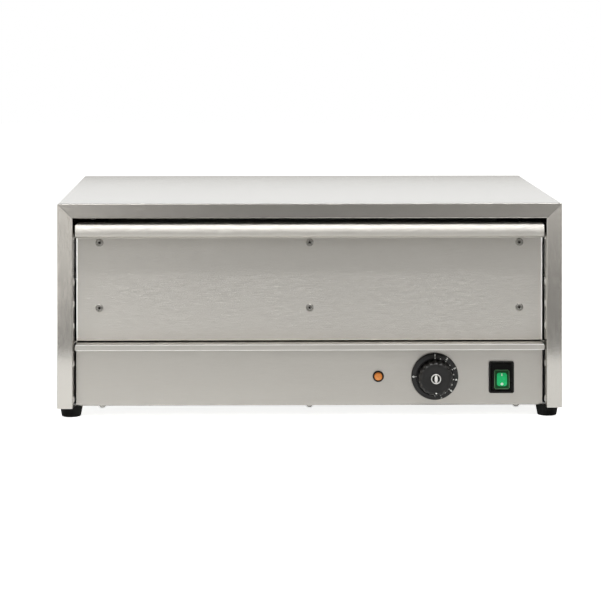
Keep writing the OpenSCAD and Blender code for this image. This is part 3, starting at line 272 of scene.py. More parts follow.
def stage_material(name, matt, colour, camera_glow, mirror_glow, stops):
    """A matt stage material that glows in a colour, by one amount for the camera and one for mirrors."""
    material = bpy.data.materials.new(name)
    material.use_nodes = True
    graph = material.node_tree
    shader = graph.nodes["Principled BSDF"]
    shader.inputs["Base Color"].default_value = (*matt, 1)
    shader.inputs["Roughness"].default_value = 1
    shader.inputs["Specular IOR Level"].default_value = 0
    emission = graph.nodes.new("ShaderNodeEmission")
    emission.inputs["Color"].default_value = (*colour, 1)
    path = graph.nodes.new("ShaderNodeLightPath")
    mirrored = summed(graph, "MAXIMUM", path.outputs["Is Glossy Ray"], path.outputs["Is Transmission Ray"])
    in_mirror = summed(graph, "MULTIPLY", mirrored, mirror_glow)
    in_mirror = summed(graph, "MULTIPLY", in_mirror, by_place(graph, stops))
    strength = summed(graph, "MULTIPLY_ADD", path.outputs["Is Camera Ray"], camera_glow, in_mirror)
    graph.links.new(strength, emission.inputs["Strength"])
    total = graph.nodes.new("ShaderNodeAddShader")
    graph.links.new(shader.outputs[0], total.inputs[0])
    graph.links.new(emission.outputs[0], total.inputs[1])
    graph.links.new(total.outputs[0], graph.nodes["Material Output"].inputs[0])
    return material


def stage_plane(name, low, high, material):
    """A flat stage piece between two corners that share one coordinate."""
    low, high = Vector(low), Vector(high)
    flat = min(range(3), key=lambda axis: high[axis] - low[axis])
    across = [axis for axis in range(3) if axis != flat]
    points = []
    for first, second in ((0, 0), (1, 0), (1, 1), (0, 1)):
        point = low.copy()
        point[across[0]] = (low, high)[first][across[0]]
        point[across[1]] = (low, high)[second][across[1]]
        points.append(point)
    mesh = bpy.data.meshes.new(name)
    mesh.from_pydata(points, [], [(0, 1, 2, 3)])
    mesh.materials.append(material)
    plane = bpy.data.objects.new(name, mesh)
    bpy.context.scene.collection.objects.link(plane)
    return plane


def for_reflections_only(card):
    """Hides a card from everything but the mirrors."""
    card.visible_camera = False
    card.visible_diffuse = False
    card.visible_shadow = False
    card.visible_transmission = False


stage_plane("table", (-TABLE_HALF, -TABLE_HALF, 0), (TABLE_HALF, TABLE_HALF, 0),
            stage_material("table white", TABLE_ALBEDO, TABLE_ALBEDO, TABLE_CAMERA_GLOW, TABLE_MIRROR_GLOW,
                           TABLE_STOPS))
room = stage_material("dark room", BLACK, ROOM_COLOUR, 0.0, 1.0, ROOM_STOPS)
rear = stage_material("dim sweep", BLACK, ROOM_COLOUR, 0.0, 1.0, REAR_STOPS)
for name, low, high, material in (
        ("room_floor", (-ROOM_HALF, -ROOM_HALF, ROOM_FLOOR_Z),
         (ROOM_HALF, TABLE_EDGE_Y, ROOM_FLOOR_Z), room),
        ("room_wall", (-ROOM_HALF, -ROOM_HALF, 0), (ROOM_HALF, -ROOM_HALF, ROOM_HEIGHT), room),
        ("rear_card", (-REAR_HALF, REAR_Y, REAR_FOOT), (REAR_HALF, REAR_Y, REAR_TOP), rear)):
    for_reflections_only(stage_plane(name, low, high, material))

world = bpy.data.worlds.new("white sweep")
bpy.context.scene.world = world
world.use_nodes = True
sky = world.node_tree
sky_path = sky.nodes.new("ShaderNodeLightPath")
seen = summed(sky, "MAXIMUM", sky_path.outputs["Is Glossy Ray"], sky_path.outputs["Is Transmission Ray"])
seen = summed(sky, "MAXIMUM", seen, sky_path.outputs["Is Camera Ray"])
sky.links.new(summed(sky, "MULTIPLY_ADD", seen, 1 - WORLD_LIGHT, WORLD_LIGHT),
              sky.nodes["Background"].inputs["Strength"])
sky.nodes["Background"].inputs["Color"].default_value = (*WHITE, 1)
bpy.context.scene.view_settings.view_transform = "Standard"
print("studio: table, room cards and world")

# %% [markdown]
# ## The main light
# The drawer's lip throws a short, sharp shadow on the front below it. So the main lamp is a long, narrow
# softbox high in front, about 67 degrees up. It is made of five lengths side by side, each with its own
# share of the power, because the photograph is a little darker towards the right.

# %% Softbox
LIP_Z = 0.18
KEY_RISE = math.radians(66.8)
KEY_AWAY = 1.6
KEY_HEIGHT = 0.18
KEY_WATTS_PER_METRE = 12.8
# The middle and width of each length of the strip, and its share of the power
KEY_LENGTHS = ((-0.85, 0.8, 0.93), (-0.275, 0.35, 0.93), (0.05, 0.3, 1.0), (0.35, 0.3, 0.84),
               (0.85, 0.7, 0.8))


def softbox(name, at, towards, size, power):
    """A rectangular area lamp of (width, height), turned to face a point."""
    lamp = bpy.data.lights.new(name, "AREA")
    lamp.shape = "RECTANGLE"
    lamp.size, lamp.size_y = size
    lamp.energy = power
    holder = bpy.data.objects.new(name, lamp)
    bpy.context.scene.collection.objects.link(holder)
    holder.location = at
    holder.rotation_euler = (Vector(towards) - Vector(at)).to_track_quat("-Z", "Y").to_euler()
    holder.visible_camera = False


lip_at = Vector((0, FRONT_Y, LIP_Z))
key_at = lip_at + KEY_AWAY * Vector((0, -math.cos(KEY_RISE), math.sin(KEY_RISE)))
for middle, width, share in KEY_LENGTHS:
    aside = Vector((middle, 0, 0))
    softbox("key_strip", key_at + aside, lip_at + aside, (width, KEY_HEIGHT),
            KEY_WATTS_PER_METRE * width * share)
print("key strip at", tuple(round(value, 2) for value in key_at))

# %% [markdown]
# ## Brushed stainless steel
# Brushed sheet is a mirror with fine scratches all one way. Along the scratches it reflects almost
# sharply, and across them it smears. A tilt of the surface that changes from scratch to scratch gives
# just that, and needs no special shader: noise drawn out along the grain leans the normal across it. The
# shell is one sheet folded over the top and down the sides, so its grain runs left to right on top and
# upright at the sides, and changes at the mitre, where the corner's weld shows as a fine dark line. Its
# top face is painted a lighter steel than the sides: painted light, for the brightness that the top
# catches. Along a few folded edges the normal is turned a little down, so that they mirror the white
# table in a fine bright line, and their colour is painted near white there as a painted highlight.

# %% Brushed steel
# The two axes that grain runs along
ACROSS, UPWARDS = 0, 2
GRAIN_FINE = 60000
GRAIN_COARSE = 1500
GRAIN_RUN = 90
# Places in the noise, far enough apart that no two patterns look alike
COARSE_FROM = (3, 5, 7)
HANDLED_FROM = (1, 2, 3)
HANDLED_BLOBS = (7, 7, 7)
HANDLED_DULLS = 0.08
COARSE_SHADES = 0.02
STAINLESS = linear(207, 204, 198)
# The shell's top face is painted lighter than its sides: painted light, not another steel
TOP_PAINTED_LIGHTER = linear(224, 223, 219)
FRONT_STAINLESS = linear(199, 196, 190)
LINER_STAINLESS = linear(190, 189, 186)
# Painted highlight: the near-white colour painted along a few folded edges
EDGE_PAINTED_HIGHLIGHT = linear(250, 249, 246)
ROLLED_FACE = (0, -0.97, -0.24)


def grain(finish, along, scale, at=(0, 0, 0)):
    """Noise drawn out along one axis."""
    scales = [scale] * 3
    scales[along] = GRAIN_RUN
    return finish.noise(tuple(scales), 1.0, at)


def vectors(finish, operation, *inputs):
    """A Vector Math node."""
    return finish.node("VectorMath", {"operation": operation}, list(inputs))


def tightened(finish, normal):
    """The normal drawn towards its nearest axis, so that a bend looks folded tight."""
    cube = vectors(finish, "MULTIPLY", vectors(finish, "MULTIPLY", normal, normal), normal)
    sharper = vectors(finish, "MULTIPLY", cube, vectors(finish, "ABSOLUTE", normal))
    return vectors(finish, "NORMALIZE", sharper)


def lean(finish, along, amount, wave, tight=0):
    """The surface's normal, tightened some times and then leaned across the grain by noise."""
    reach = [amount] * 3
    reach[along] = 0
    push = finish.node("VectorMath", {"operation": "SCALE"}, {0: tuple(reach), "Scale": wave - 0.5})
    normal = finish.node("NewGeometry", {}, [], "Normal")
    for _ in range(tight):
        normal = tightened(finish, normal)
    return vectors(finish, "NORMALIZE", vectors(finish, "ADD", normal, push))


def brushed(name, colour, roughness, lean_by, tight=0, rougher=None, rolled=None):
    """
    Brushed sheet with its grain from left to right. Two functions give what some parts add to the
    roughness, and where an edge is painted near white as a painted highlight and turned down.
    """
    finish = Finish(name, colour, roughness, Metallic=1.0)
    fine = grain(finish, ACROSS, GRAIN_FINE)
    coarse = grain(finish, ACROSS, GRAIN_COARSE, COARSE_FROM)
    handled = finish.noise(HANDLED_BLOBS, 3.0, HANDLED_FROM)
    rough = handled * HANDLED_DULLS + (roughness - HANDLED_DULLS / 2)
    if rougher:
        rough = rough + rougher(finish)
    shade = finish.shaded(COARSE_SHADES, coarse)
    normal = lean(finish, ACROSS, lean_by, fine, tight)
    if rolled:
        edge = rolled(finish)
        # Painted highlight: along the edge the colour is painted near white, and the normal turns down
        shade = finish.mix(edge, shade, EDGE_PAINTED_HIGHLIGHT)
        normal = finish.mix_normals(edge, normal, ROLLED_FACE)
    finish.feed("Base Color", shade)
    finish.feed("Roughness", rough)
    finish.feed("Normal", normal)
    return finish


# The shell: where its faces change
MITRE_SLOPE = 1.032
MITRE_LINE = 0.0004
RETURN_FROM = 0.0165
TOP_SKIN = 0.0005
# What each place adds to its roughness, how far its normals lean, and how much the weld darkens it
SHELL_POLISH, SHELL_HANDLED, LEVEL_DULLS, RETURN_DULLS = 0.08, 0.05, 0.12, 0.35
SHELL_BLOBS = (6, 6, 6)
LEVEL_LEAN, UPRIGHT_LEAN = 0.5, 2.3
WELD_SHARE = 0.45
WELD_DARK = linear(90, 88, 85)


def shell_steel():
    """The wrapped shell: grain left to right on top and upright at the sides, parted at the mitre, with its
    top face painted lighter as painted light.
    """
    finish = Finish("shell stainless", STAINLESS, 0.2, Metallic=1.0)
    low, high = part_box("outer_shell")
    from_side = high.x - abs(finish.part("X"))
    from_top = (high.z - finish.part("Z")) * MITRE_SLOPE
    upright = (from_side < from_top)
    level = 1 - upright
    fine = {axis: grain(finish, axis, GRAIN_FINE) for axis in (ACROSS, UPWARDS)}
    coarse = {axis: grain(finish, axis, GRAIN_COARSE, COARSE_FROM) for axis in (ACROSS, UPWARDS)}
    weld = (abs(from_side - from_top) < MITRE_LINE) * WELD_SHARE
    handled = finish.noise(SHELL_BLOBS, 3.0, HANDLED_FROM)
    on_top = finish.part("Z") > high.z - TOP_SKIN
    shade = finish.shaded(COARSE_SHADES, coarse[ACROSS] * level + coarse[UPWARDS] * upright)
    # Painted light: the top face takes the lighter colour
    steel = finish.mix(on_top, shade, TOP_PAINTED_LIGHTER)
    finish.feed("Base Color", finish.mix(weld, steel, WELD_DARK))
    on_return = (from_side > RETURN_FROM) * upright
    duller = handled * SHELL_HANDLED + level * LEVEL_DULLS + on_return * RETURN_DULLS
    finish.feed("Roughness", duller + SHELL_POLISH)
    leaned = (lean(finish, ACROSS, LEVEL_LEAN, fine[ACROSS], 1),
              lean(finish, UPWARDS, UPRIGHT_LEAN, fine[UPWARDS], 1))
    finish.feed("Normal", vectors(finish, "NORMALIZE", finish.mix_normals(upright, *leaned)))
    return finish


# The zones of the front: the lip's height, and the edges that get a painted highlight
LIP_HEIGHT = 0.0152
LIP_DULLS = 0.17
SIDE_EDGE_X = 0.2344
STRIP_EDGE = 0.001
STRIP_HEIGHT = 0.0066


def on_the_lip(finish):
    """1 on the drawer's pull lip, and 0 on the front below it."""
    return finish.part("Z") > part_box("drawer_front")[1].z - LIP_HEIGHT


def duller_lip(finish):
    """The drawer's pull lip is rolled and duller than the front below it."""
    return on_the_lip(finish) * LIP_DULLS


def side_edge(finish):
    """1 along the two folded side edges below the lip."""
    return (abs(finish.part("X")) > SIDE_EDGE_X) * (1 - on_the_lip(finish))


def strip_edges(finish):
    """1 along the upper and lower edge of the deck's folded front."""
    low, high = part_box("deck_plate")
    height = finish.part("Z")
    upper = height > high.z - STRIP_EDGE
    lower = height < high.z - STRIP_HEIGHT + STRIP_EDGE
    return (upper + lower).maths("MINIMUM", 1.0) * (finish.part("Y") < low.y + STRIP_EDGE)


finishes = {"stainless_shell": shell_steel(),
            "stainless_front": brushed("front stainless", FRONT_STAINLESS, 0.36, 1.0),
            "stainless_inside": brushed("liner stainless", LINER_STAINLESS, 0.38, 0.5)}
# Two pieces of the front sheet that look a little different from the panel
# Both have folded edges painted near white as a painted highlight
finish_of = {"drawer_front": brushed("drawer stainless", FRONT_STAINLESS, 0.31, 1.75,
                                     rougher=duller_lip, rolled=side_edge),
             "deck_plate": brushed("deck stainless", FRONT_STAINLESS, 0.36, 1.1,
                                   tight=2, rolled=strip_edges)}
print("brushed:", ", ".join([*finishes, *finish_of]))

# %% [markdown]
# ## The other metals
# Galvanised sheet shows faint crystals, zinc plated rails are smooth and slightly blue, and fasteners are
# bright and plain. Each is a metal whose colour and roughness wander a little, at the size of the real
# marks.

# %% Other metals
PATCHES_DULL = 0.16
PITS_PER_BLOB = 25
CRYSTALS_PER_METRE = 130.0
CRYSTALS_SHADE = 0.09
CRYSTALS_DULL = 0.14
ZINC_POLISH = 0.34


def metal(name, colour, roughness, wander=0.04, blobs=60.0, bump_mm=0.0):
    """Plain metal with soft patches, so many to the metre, and fine pits of some depth."""
    finish = Finish(name, colour, roughness, Metallic=1.0)
    patches = finish.noise((blobs,) * 3, 3.0)
    finish.feed("Base Color", finish.shaded(wander, patches))
    finish.feed("Roughness", patches * PATCHES_DULL + (roughness - PATCHES_DULL / 2))
    if bump_mm:
        finish.bump(finish.noise((blobs * PITS_PER_BLOB,) * 3, 2.0), bump_mm * MM)
    return finish


def galvanised():
    """Zinc coated sheet, whose crystals differ a little in shade and polish."""
    finish = Finish("galvanised sheet", linear(186, 189, 191), 0.42, Metallic=1.0)
    crystals = finish.node("TexVoronoi", {}, {"Vector": finish.place, "Scale": CRYSTALS_PER_METRE},
                           "Color")
    shade = finish.node("SeparateColor", {}, [crystals], 0)
    finish.feed("Base Color", finish.shaded(CRYSTALS_SHADE, shade))
    finish.feed("Roughness", shade * CRYSTALS_DULL + ZINC_POLISH)
    return finish


finishes.update({
    "galvanised": galvanised(),
    "fastener_steel": metal("bright screws and rivets", linear(205, 203, 198), 0.24, 0.05, 400, 0.004),
    "zinc_rail": metal("zinc plated rails", linear(200, 204, 208), 0.27, 0.04, 45, 0.002),
    "cage_steel": metal("pressed ball cage", linear(158, 161, 165), 0.38, 0.06, 120, 0.003),
    "ball_steel": metal("ball steel", linear(222, 222, 224), 0.08, 0.02, 300),
    "element_sheath": metal("oxidised element sheath", linear(96, 92, 86), 0.5, 0.12, 90, 0.02),
    "shield_aluminium": metal("aluminised shield", linear(196, 196, 196), 0.4, 0.05, 70, 0.004),
    "copper_bulb": metal("copper bulb and capillary", linear(205, 141, 104), 0.3, 0.1, 80, 0.003),
    "brass": metal("brass", linear(206, 176, 104), 0.28, 0.06, 150, 0.003),
    "chrome_trim": metal("chromed trim", linear(240, 240, 240), 0.16, 0.02, 200),
    "spindle_steel": metal("turned spindle", linear(190, 190, 190), 0.3, 0.04, 300, 0.004),
})
RIVET_ALLOY = metal("dull rivet alloy", linear(150, 148, 143), 0.26, 0.06, 500, 0.003)
SATIN_CAP = metal("satin cap", linear(240, 239, 236), 0.55, 0.02, 200)
# The pins are painted near black: painted shade for the hole in each rivet's head
PIN_PAINTED_SHADE = metal("rivet pin in painted shade", linear(44, 42, 40), 0.5, 0.1, 500)
finish_of["liner_rivets"] = metal("satin rivets", linear(228, 226, 222), 0.5, 0.03, 300)
print("metals:", len(finishes))

# %% [markdown]
# ## Plastics, rubber, ceramic and lenses
# Moulded black plastic isn't black: it has a grey sheen and a fine grain that breaks up the reflections.
# Rubber is duller, with a coarser grain. The lenses are clear plastic dyed through, so they are glossy over
# a deep colour and glow a little, as a lit lens does. The switch's lens is bright only over its raised
# middle: round it the plastic is deep green, and its outer edge has a pale painted highlight.

# %% Plastics and the rest
PLASTIC_DULLS = 0.2
PLASTIC_PATCHES = (90, 90, 90)
PATCHES_FROM = (4, 4, 4)
AMBER_CELLS_PER_METRE = 900.0
# How much each dimple's colour is painted lighter at its middle: a painted highlight
AMBER_CELLS_PAINTED_LIGHT = 0.22
AMBER_DIMPLE_MM = 0.25
AMBER, AMBER_GLOW = linear(226, 142, 58), linear(232, 120, 30)
# The pale rim colour is a painted highlight along the lens's outer edge
GREEN_DEEP, GREEN_RIM_PAINTED_HIGHLIGHT = linear(22, 72, 38), linear(92, 126, 94)
GREEN_DIM, GREEN_LIT, GREEN_GLOW = linear(22, 152, 86), linear(48, 186, 114), linear(10, 180, 96)
# The switch's lens: its middle, the half size and corner of its raised pane, and where its rim, painted as
# a highlight, starts
LENS_AT = (0.1942, 0.0377)
PANE_HALF = (0.0051, 0.0066)
PANE_CORNER = 0.0024
RIM_FROM = (0.007, 0.009)
LENS_CLOUDS = (300, 300, 300)


def moulded(name, colour, roughness, grain_mm=0.35, depth_mm=0.01, wander=0.12, **fixed):
    """Moulded or dipped material with a fine surface grain."""
    finish = Finish(name, colour, roughness, **fixed)
    pits = finish.noise((1 / (grain_mm * MM),) * 3, 2.0)
    patches = finish.noise(PLASTIC_PATCHES, 3.0, PATCHES_FROM)
    finish.feed("Base Color", finish.shaded(wander, patches))
    finish.feed("Roughness", patches * PLASTIC_DULLS + (roughness - PLASTIC_DULLS / 2))
    finish.bump(pits, depth_mm * MM)
    return finish


def amber_lens():
    """A dimpled lens: a bump for the dimples, and each cell painted lighter towards its middle as a painted
    highlight.
    """
    finish = moulded("amber lens", AMBER, 0.3, Coat_Weight=0.3, Emission_Strength=0.16,
                     Emission_Color=(*AMBER_GLOW, 1))
    cells = finish.node("TexVoronoi", {}, {"Vector": finish.place, "Scale": AMBER_CELLS_PER_METRE},
                        "Distance")
    finish.feed("Base Color", finish.shaded(AMBER_CELLS_PAINTED_LIGHT, 1 - cells))
    finish.bump(cells, AMBER_DIMPLE_MM * MM)
    return finish


def green_lens():
    """Bright over the raised middle, deep green round it, and a pale painted highlight at the outer edge.
    """
    finish = Finish("green lens", linear(30, 168, 98), 0.22, Specular_IOR_Level=0.2,
                    Emission_Strength=0.14)
    across = abs(finish.part("X") - LENS_AT[0])
    along = abs(finish.part("Z") - LENS_AT[1])
    past = [(reach - (half - PANE_CORNER)).maths("MAXIMUM", 0.0) ** 2
            for reach, half in zip((across, along), PANE_HALF)]
    pane = ((past[0] + past[1]) ** 0.5 < PANE_CORNER)
    rim = ((across > RIM_FROM[0]) + (along > RIM_FROM[1])).maths("MINIMUM", 1.0)
    clouds = finish.noise(LENS_CLOUDS, 2.0)
    deep = finish.mix(rim, GREEN_DEEP, GREEN_RIM_PAINTED_HIGHLIGHT)
    lit = finish.mix(clouds, GREEN_DIM, GREEN_LIT)
    finish.feed("Base Color", finish.mix(pane, deep, lit))
    finish.feed("Emission Color", finish.mix(pane, BLACK, GREEN_GLOW))
    return finish


finishes.update({
    "ceramic": moulded("glazed ceramic", linear(226, 221, 208), 0.3, 0.8, 0.01, 0.04, Coat_Weight=0.4),
    "black_plastic": moulded("moulded black plastic", linear(22, 21, 20), 0.42, Specular_IOR_Level=0.2),
    "knob_plastic": moulded("knob plastic", linear(15, 14, 13), 0.32, 0.4, 0.012, Specular_IOR_Level=0.42),
    "paddle_plastic": moulded("dark paddle plastic", linear(14, 14, 13), 0.3, 0.5, 0.004,
                              Specular_IOR_Level=0.1),
    "amber_lens": amber_lens(),
    "green_lens": green_lens(),
    "wire_insulation": moulded("wire insulation", linear(168, 60, 46), 0.45, 0.6, 0.01),
    "rubber": moulded("black rubber", linear(20, 20, 19), 0.62, 0.5, 0.02, Specular_IOR_Level=0.12),
})
PRINT_WHITE = moulded("printed white", linear(242, 242, 238), 0.5, 0.2, 0.004, 0.04)
print("finishes:", len(finishes))

# %% [markdown]
# ## Dress the frame
# Every node names a material slot in its record, and each slot has one finish. The nodes keep their
# meshes; only what fills their material slot changes.

# %% Finishes on the nodes
slot_of = {entry["node"]: entry["material_slot"] for entry in frame["record"]["subparts"]}
body_of = {name: body for body, names in frame["record"]["behaviour"]["bodies"].items() for name in names}


def give(piece, finish):
    """Puts one finish on a whole piece."""
    piece.data.materials.clear()
    piece.data.materials.append(finish.material)


for name, node in nodes.items():
    finish_of.setdefault(name, finishes[slot_of[name]])
    give(node, finish_of[name])
print("dressed:", len(nodes), "nodes")

# %% [markdown]
# ## Tools for modelling
# The pieces below are made the way one models by hand: a primitive is added at its place and size, then
# drawn out, scaled and merged in Edit Mode. Nearly everything here that isn't sheet is turned, so one tool
# does most of it: a disc is drawn out ring by ring along an axis, and each ring is scaled to its radius.

# %% Modelling tools
# How far the feet lift the shell's lower edge above the table
FEET_MM = 11
# Points nearer than this are one, and edges flatter or sharper than these angles are merged or bevelled
TOUCHING = 2e-6
FLAT_TO = math.radians(0.4)
SHARP_FROM = math.radians(35)
BEVEL_SEGMENTS = 2
ROUND_TO = 30
FLAT_FACES_FIRST = 100


def place(x, y, z):
    """A point given in millimetres from the flange's face and the shell's lower edge."""
    return Vector((x, y, z)) * MM + Vector((0, FRONT_Y, FEET_MM * MM))


def activate(piece):
    """Makes one piece the only selected and the active one."""
    bpy.ops.object.select_all(action="DESELECT")
    piece.select_set(True)
    bpy.context.view_layer.objects.active = piece


def select_points(piece, test):
    """In Edit Mode, selects the points whose place passes the test."""
    bpy.ops.mesh.select_mode(type="VERT")
    points = bmesh.from_edit_mesh(piece.data)
    for point in points.verts:
        point.select_set(test(point.co))
    points.select_flush_mode()
    bmesh.update_edit_mesh(piece.data)


def turned(name, centre, axis, profile, count):
    """A shape turned round an axis, from pairs of radius and height in mm. A last radius of 0 is a pole."""
    radius, height = profile[0]
    bpy.ops.object.select_all(action="DESELECT")
    bpy.ops.mesh.primitive_circle_add(vertices=count, radius=radius * MM, fill_type="NGON",
                                      location=centre + axis * height * MM,
                                      rotation=axis.to_track_quat("Z", "Y").to_euler())
    piece = bpy.context.object
    piece.name = name
    bpy.ops.object.transform_apply(location=True, rotation=True, scale=True)
    bpy.ops.object.mode_set(mode="EDIT")
    bpy.ops.mesh.select_all(action="SELECT")
    for next_radius, next_height in profile[1:]:
        rise = axis * (next_height - height) * MM
        bpy.ops.mesh.extrude_region_move(TRANSFORM_OT_translate={"value": rise})
        if next_radius == 0:
            bpy.ops.mesh.merge(type="CENTER")
            break
        scale = next_radius / radius
        bpy.ops.transform.resize(value=(scale, scale, scale),
                                 center_override=centre + axis * next_height * MM)
        radius, height = next_radius, next_height
    bpy.ops.mesh.select_all(action="SELECT")
    bpy.ops.mesh.normals_make_consistent(inside=False)
    bpy.ops.object.mode_set(mode="OBJECT")
    return piece


def keep_flats_flat(piece, angle):
    """Shades curves round up to an angle, with each flat face's own direction kept to its very edge."""
    activate(piece)
    bpy.ops.object.shade_smooth_by_angle(angle=math.radians(angle))
    weighted = piece.modifiers.new("flat faces first", "WEIGHTED_NORMAL")
    weighted.keep_sharp = True
    weighted.weight = FLAT_FACES_FIRST
    bpy.ops.object.modifier_apply(modifier=weighted.name)


def soften(piece, width_mm):
    """Bevels every sharp edge."""
    activate(piece)
    bevel = piece.modifiers.new("soft edges", "BEVEL")
    bevel.limit_method = "ANGLE"
    bevel.angle_limit = SHARP_FROM
    bevel.width = width_mm * MM
    bevel.segments = BEVEL_SEGMENTS
    bpy.ops.object.modifier_apply(modifier=bevel.name)


def settle(piece, body, slot, replaced=(), finish=None, angle=ROUND_TO):
    """Shades a piece, gives it its finish and fixes it to the body that it moves with."""
    keep_flats_flat(piece, angle)
    give(piece, finish or finishes[slot])
    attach(piece, body)
    if replaced:
        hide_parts(*replaced)


def smooth_copy(node_name, edge_mm=0.0):
    """A node's own shape, with its points merged, its edges softened and its curves shaded round."""
    piece = bpy.data.objects.new(node_name + "_soft", nodes[node_name].data.copy())
    bpy.context.scene.collection.objects.link(piece)
    activate(piece)
    bpy.ops.object.mode_set(mode="EDIT")
    bpy.ops.mesh.select_all(action="SELECT")
    bpy.ops.mesh.remove_doubles(threshold=TOUCHING)
    if edge_mm:
        bpy.ops.mesh.dissolve_limited(angle_limit=FLAT_TO)
    bpy.ops.object.mode_set(mode="OBJECT")
    if edge_mm:
        soften(piece, edge_mm)
    settle(piece, body_of[node_name], slot_of[node_name], [node_name], finish_of[node_name])


def joined(name, pieces):
    """Several pieces made one."""
    activate(pieces[0])
    for piece in pieces:
        piece.select_set(True)
    bpy.ops.object.join()
    pieces[0].name = name
    return pieces[0]


def copied(piece, shift):
    """A copy with its own mesh, moved by shift."""
    activate(piece)
    bpy.ops.object.duplicate()
    copy = bpy.context.object
    bpy.ops.transform.translate(value=shift)
    bpy.ops.object.transform_apply(location=True, rotation=True, scale=True)
    return copy


print("modelling tools ready")

# %% [markdown]
# ## Sheet metal and mouldings with soft edges
# A solid's mesh arrives as loose triangles, so each bend of a sheet shows its flats. Merged and shaded by
# angle, the flats become one round bend, and flat faces stay flat. Mouldings, screw heads and the folded
# drawer front get a small bevel too: no real edge is perfectly sharp, and the bevel catches the light.

# %% Soft copies of the solids
SHEETS = ("outer_shell", "back_panel", "base_pan", "inner_liner", "liner_back", "deck_plate",
          "control_panel", "drawer_box", "heat_shield", "heating_element", "thermostat_bulb",
          "cabinet_rail_left", "cabinet_rail_right", "mid_rail_left", "mid_rail_right",
          "drawer_rail_left", "drawer_rail_right", "outer_balls", "inner_balls", "liner_rivets",
          "drawer_rail_rivets", "wiring")
# The width of the bevel of each, in mm
MOULDINGS = {"drawer_front": 0.4, "feet": 0.3, "rocker_body": 0.22, "rocker_paddle": 0.35,
             "rocker_lens": 0.3, "thermostat_body": 0.3, "cable_gland": 0.4, "gland_nut": 0.3,
             "terminal_block": 0.2, "base_screws": 0.15, "back_screws": 0.15, "foot_screws": 0.15,
             "thermostat_screws": 0.1}
for name in SHEETS:
    smooth_copy(name)
for name, edge in MOULDINGS.items():
    smooth_copy(name, edge)
print("soft copies:", len(SHEETS) + len(MOULDINGS))

# %% [markdown]
# ## The drawer's rivets
# The drawer front is held to its box by six blind rivets. A blind rivet has a low domed head, a hole with
# the stub of its pin in it, and a set tail behind the sheets. The stubs are painted near black: painted
# shade for the hole that they sit in. One is turned with all its rings, tail included, and copied to the
# other five places, and the stubs are made in the same way.

# %% Drawer rivets
# How far the drawer front and the control panel lie behind the flange's face, in mm
RECESS = 18
RIVET_XS = (-212.5, 0, 212.5)
RIVET_ZS = (99, 165)
RIVET_PROFILE = ((1.2, -4.7), (2.7, -4.7), (2.8, -4.4), (2.8, -2.4), (2.6, -2.2), (2.0, -2.2),
                 (2.0, 0), (3.85, 0), (4.0, 0.3), (3.9, 0.6), (3.65, 0.88), (3.3, 1.02), (2.9, 1.0),
                 (2.5, 0.86), (2.0, 0.9), (1.6, 1.02), (1.35, 1.0), (1.2, 0.85), (1.15, 0.5), (1.15, -4))
PIN_PROFILE = ((1.1, -4.5), (1.1, 0.2), (0.9, 0.3), (0, 0.3))
RIVET_SIDES, PIN_SIDES = 40, 20
RIVET_AT = place(RIVET_XS[0], RECESS, RIVET_ZS[0])
OUTWARDS = Vector((0, -1, 0))


def at_every_rivet(name, profile, count):
    """One turned shape at each of the six places."""
    shapes = [turned(name, RIVET_AT, OUTWARDS, profile, count)]
    for x in RIVET_XS:
        for z in RIVET_ZS:
            shift = place(x, RECESS, z) - RIVET_AT
            if shift.length > 0:
                shapes.append(copied(shapes[0], shift))
    return joined(name, shapes)


settle(at_every_rivet("front_rivets", RIVET_PROFILE, RIVET_SIDES), "drawer", "fastener_steel",
       ["drawer_rivets"], RIVET_ALLOY)
settle(at_every_rivet("rivet_pins", PIN_PROFILE, PIN_SIDES), "drawer", "fastener_steel",
       finish=PIN_PAINTED_SHADE)
print("rivets and pins:", 2 * len(RIVET_XS) * len(RIVET_ZS))

# %% [markdown]
# ## The thermostat's knob
# The knob is one black moulding: a numbered skirt, a groove, and a grip with eighteen shallow flutes and a
# dished face. It is turned first, with the bore for the spindle and the hollow back, so that it has the
# right section. The flutes come after: columns of points on the grip are pulled towards the axis, more in
# the middle of each flute.

# %% Knob
CONTROL_Z = 29.3
KNOB_AT = place(126.6, RECESS, CONTROL_Z)
FLUTES = 18
COLUMNS_PER_FLUTE = 8
FLUTE_MM = 0.95
GRIP_R = 17.5
# The radius and height at which the skirt's cone meets the groove
CONE_R, CONE_TOP = 19.6, 5.3
KNOB_PROFILE = ((3.03, 17), (3.03, 0.6), (5.5, 0.6), (5.5, 16.6), (14.9, 16.6), (14.9, 2.2), (17.8, 2.2),
                (17.8, 0.6), (22.3, 0.6), (23.2, 0.8), (23.7, 1.3), (23.75, 1.9), (23.6, 2.9), (23.2, 3.5),
                (22.6, 3.9), (CONE_R, CONE_TOP), (19.2, 5.45), (18.9, 5.3), (18.8, 4.9), (18.7, 3.5),
                (17.6, 3.5), (GRIP_R, 4.9), (GRIP_R, 6.2), (GRIP_R, 12), (GRIP_R, 17.4), (17.3, 18.8),
                (16.8, 20.0), (15.9, 21.0), (14.8, 21.7), (13.5, 22), (12.2, 21.8), (9.6, 21.0),
                (7.6, 20.5), (6.2, 20.4), (5.5, 20.5), (5.15, 20.3), (5.05, 19.2))
# The flutes run over these heights, on points that lie outside the last radius
GRIP_FROM, GRIP_TO, GRIP_OUTSIDE = 5.9, 21.4, 15
FLUTES_ROUND_TO = 40


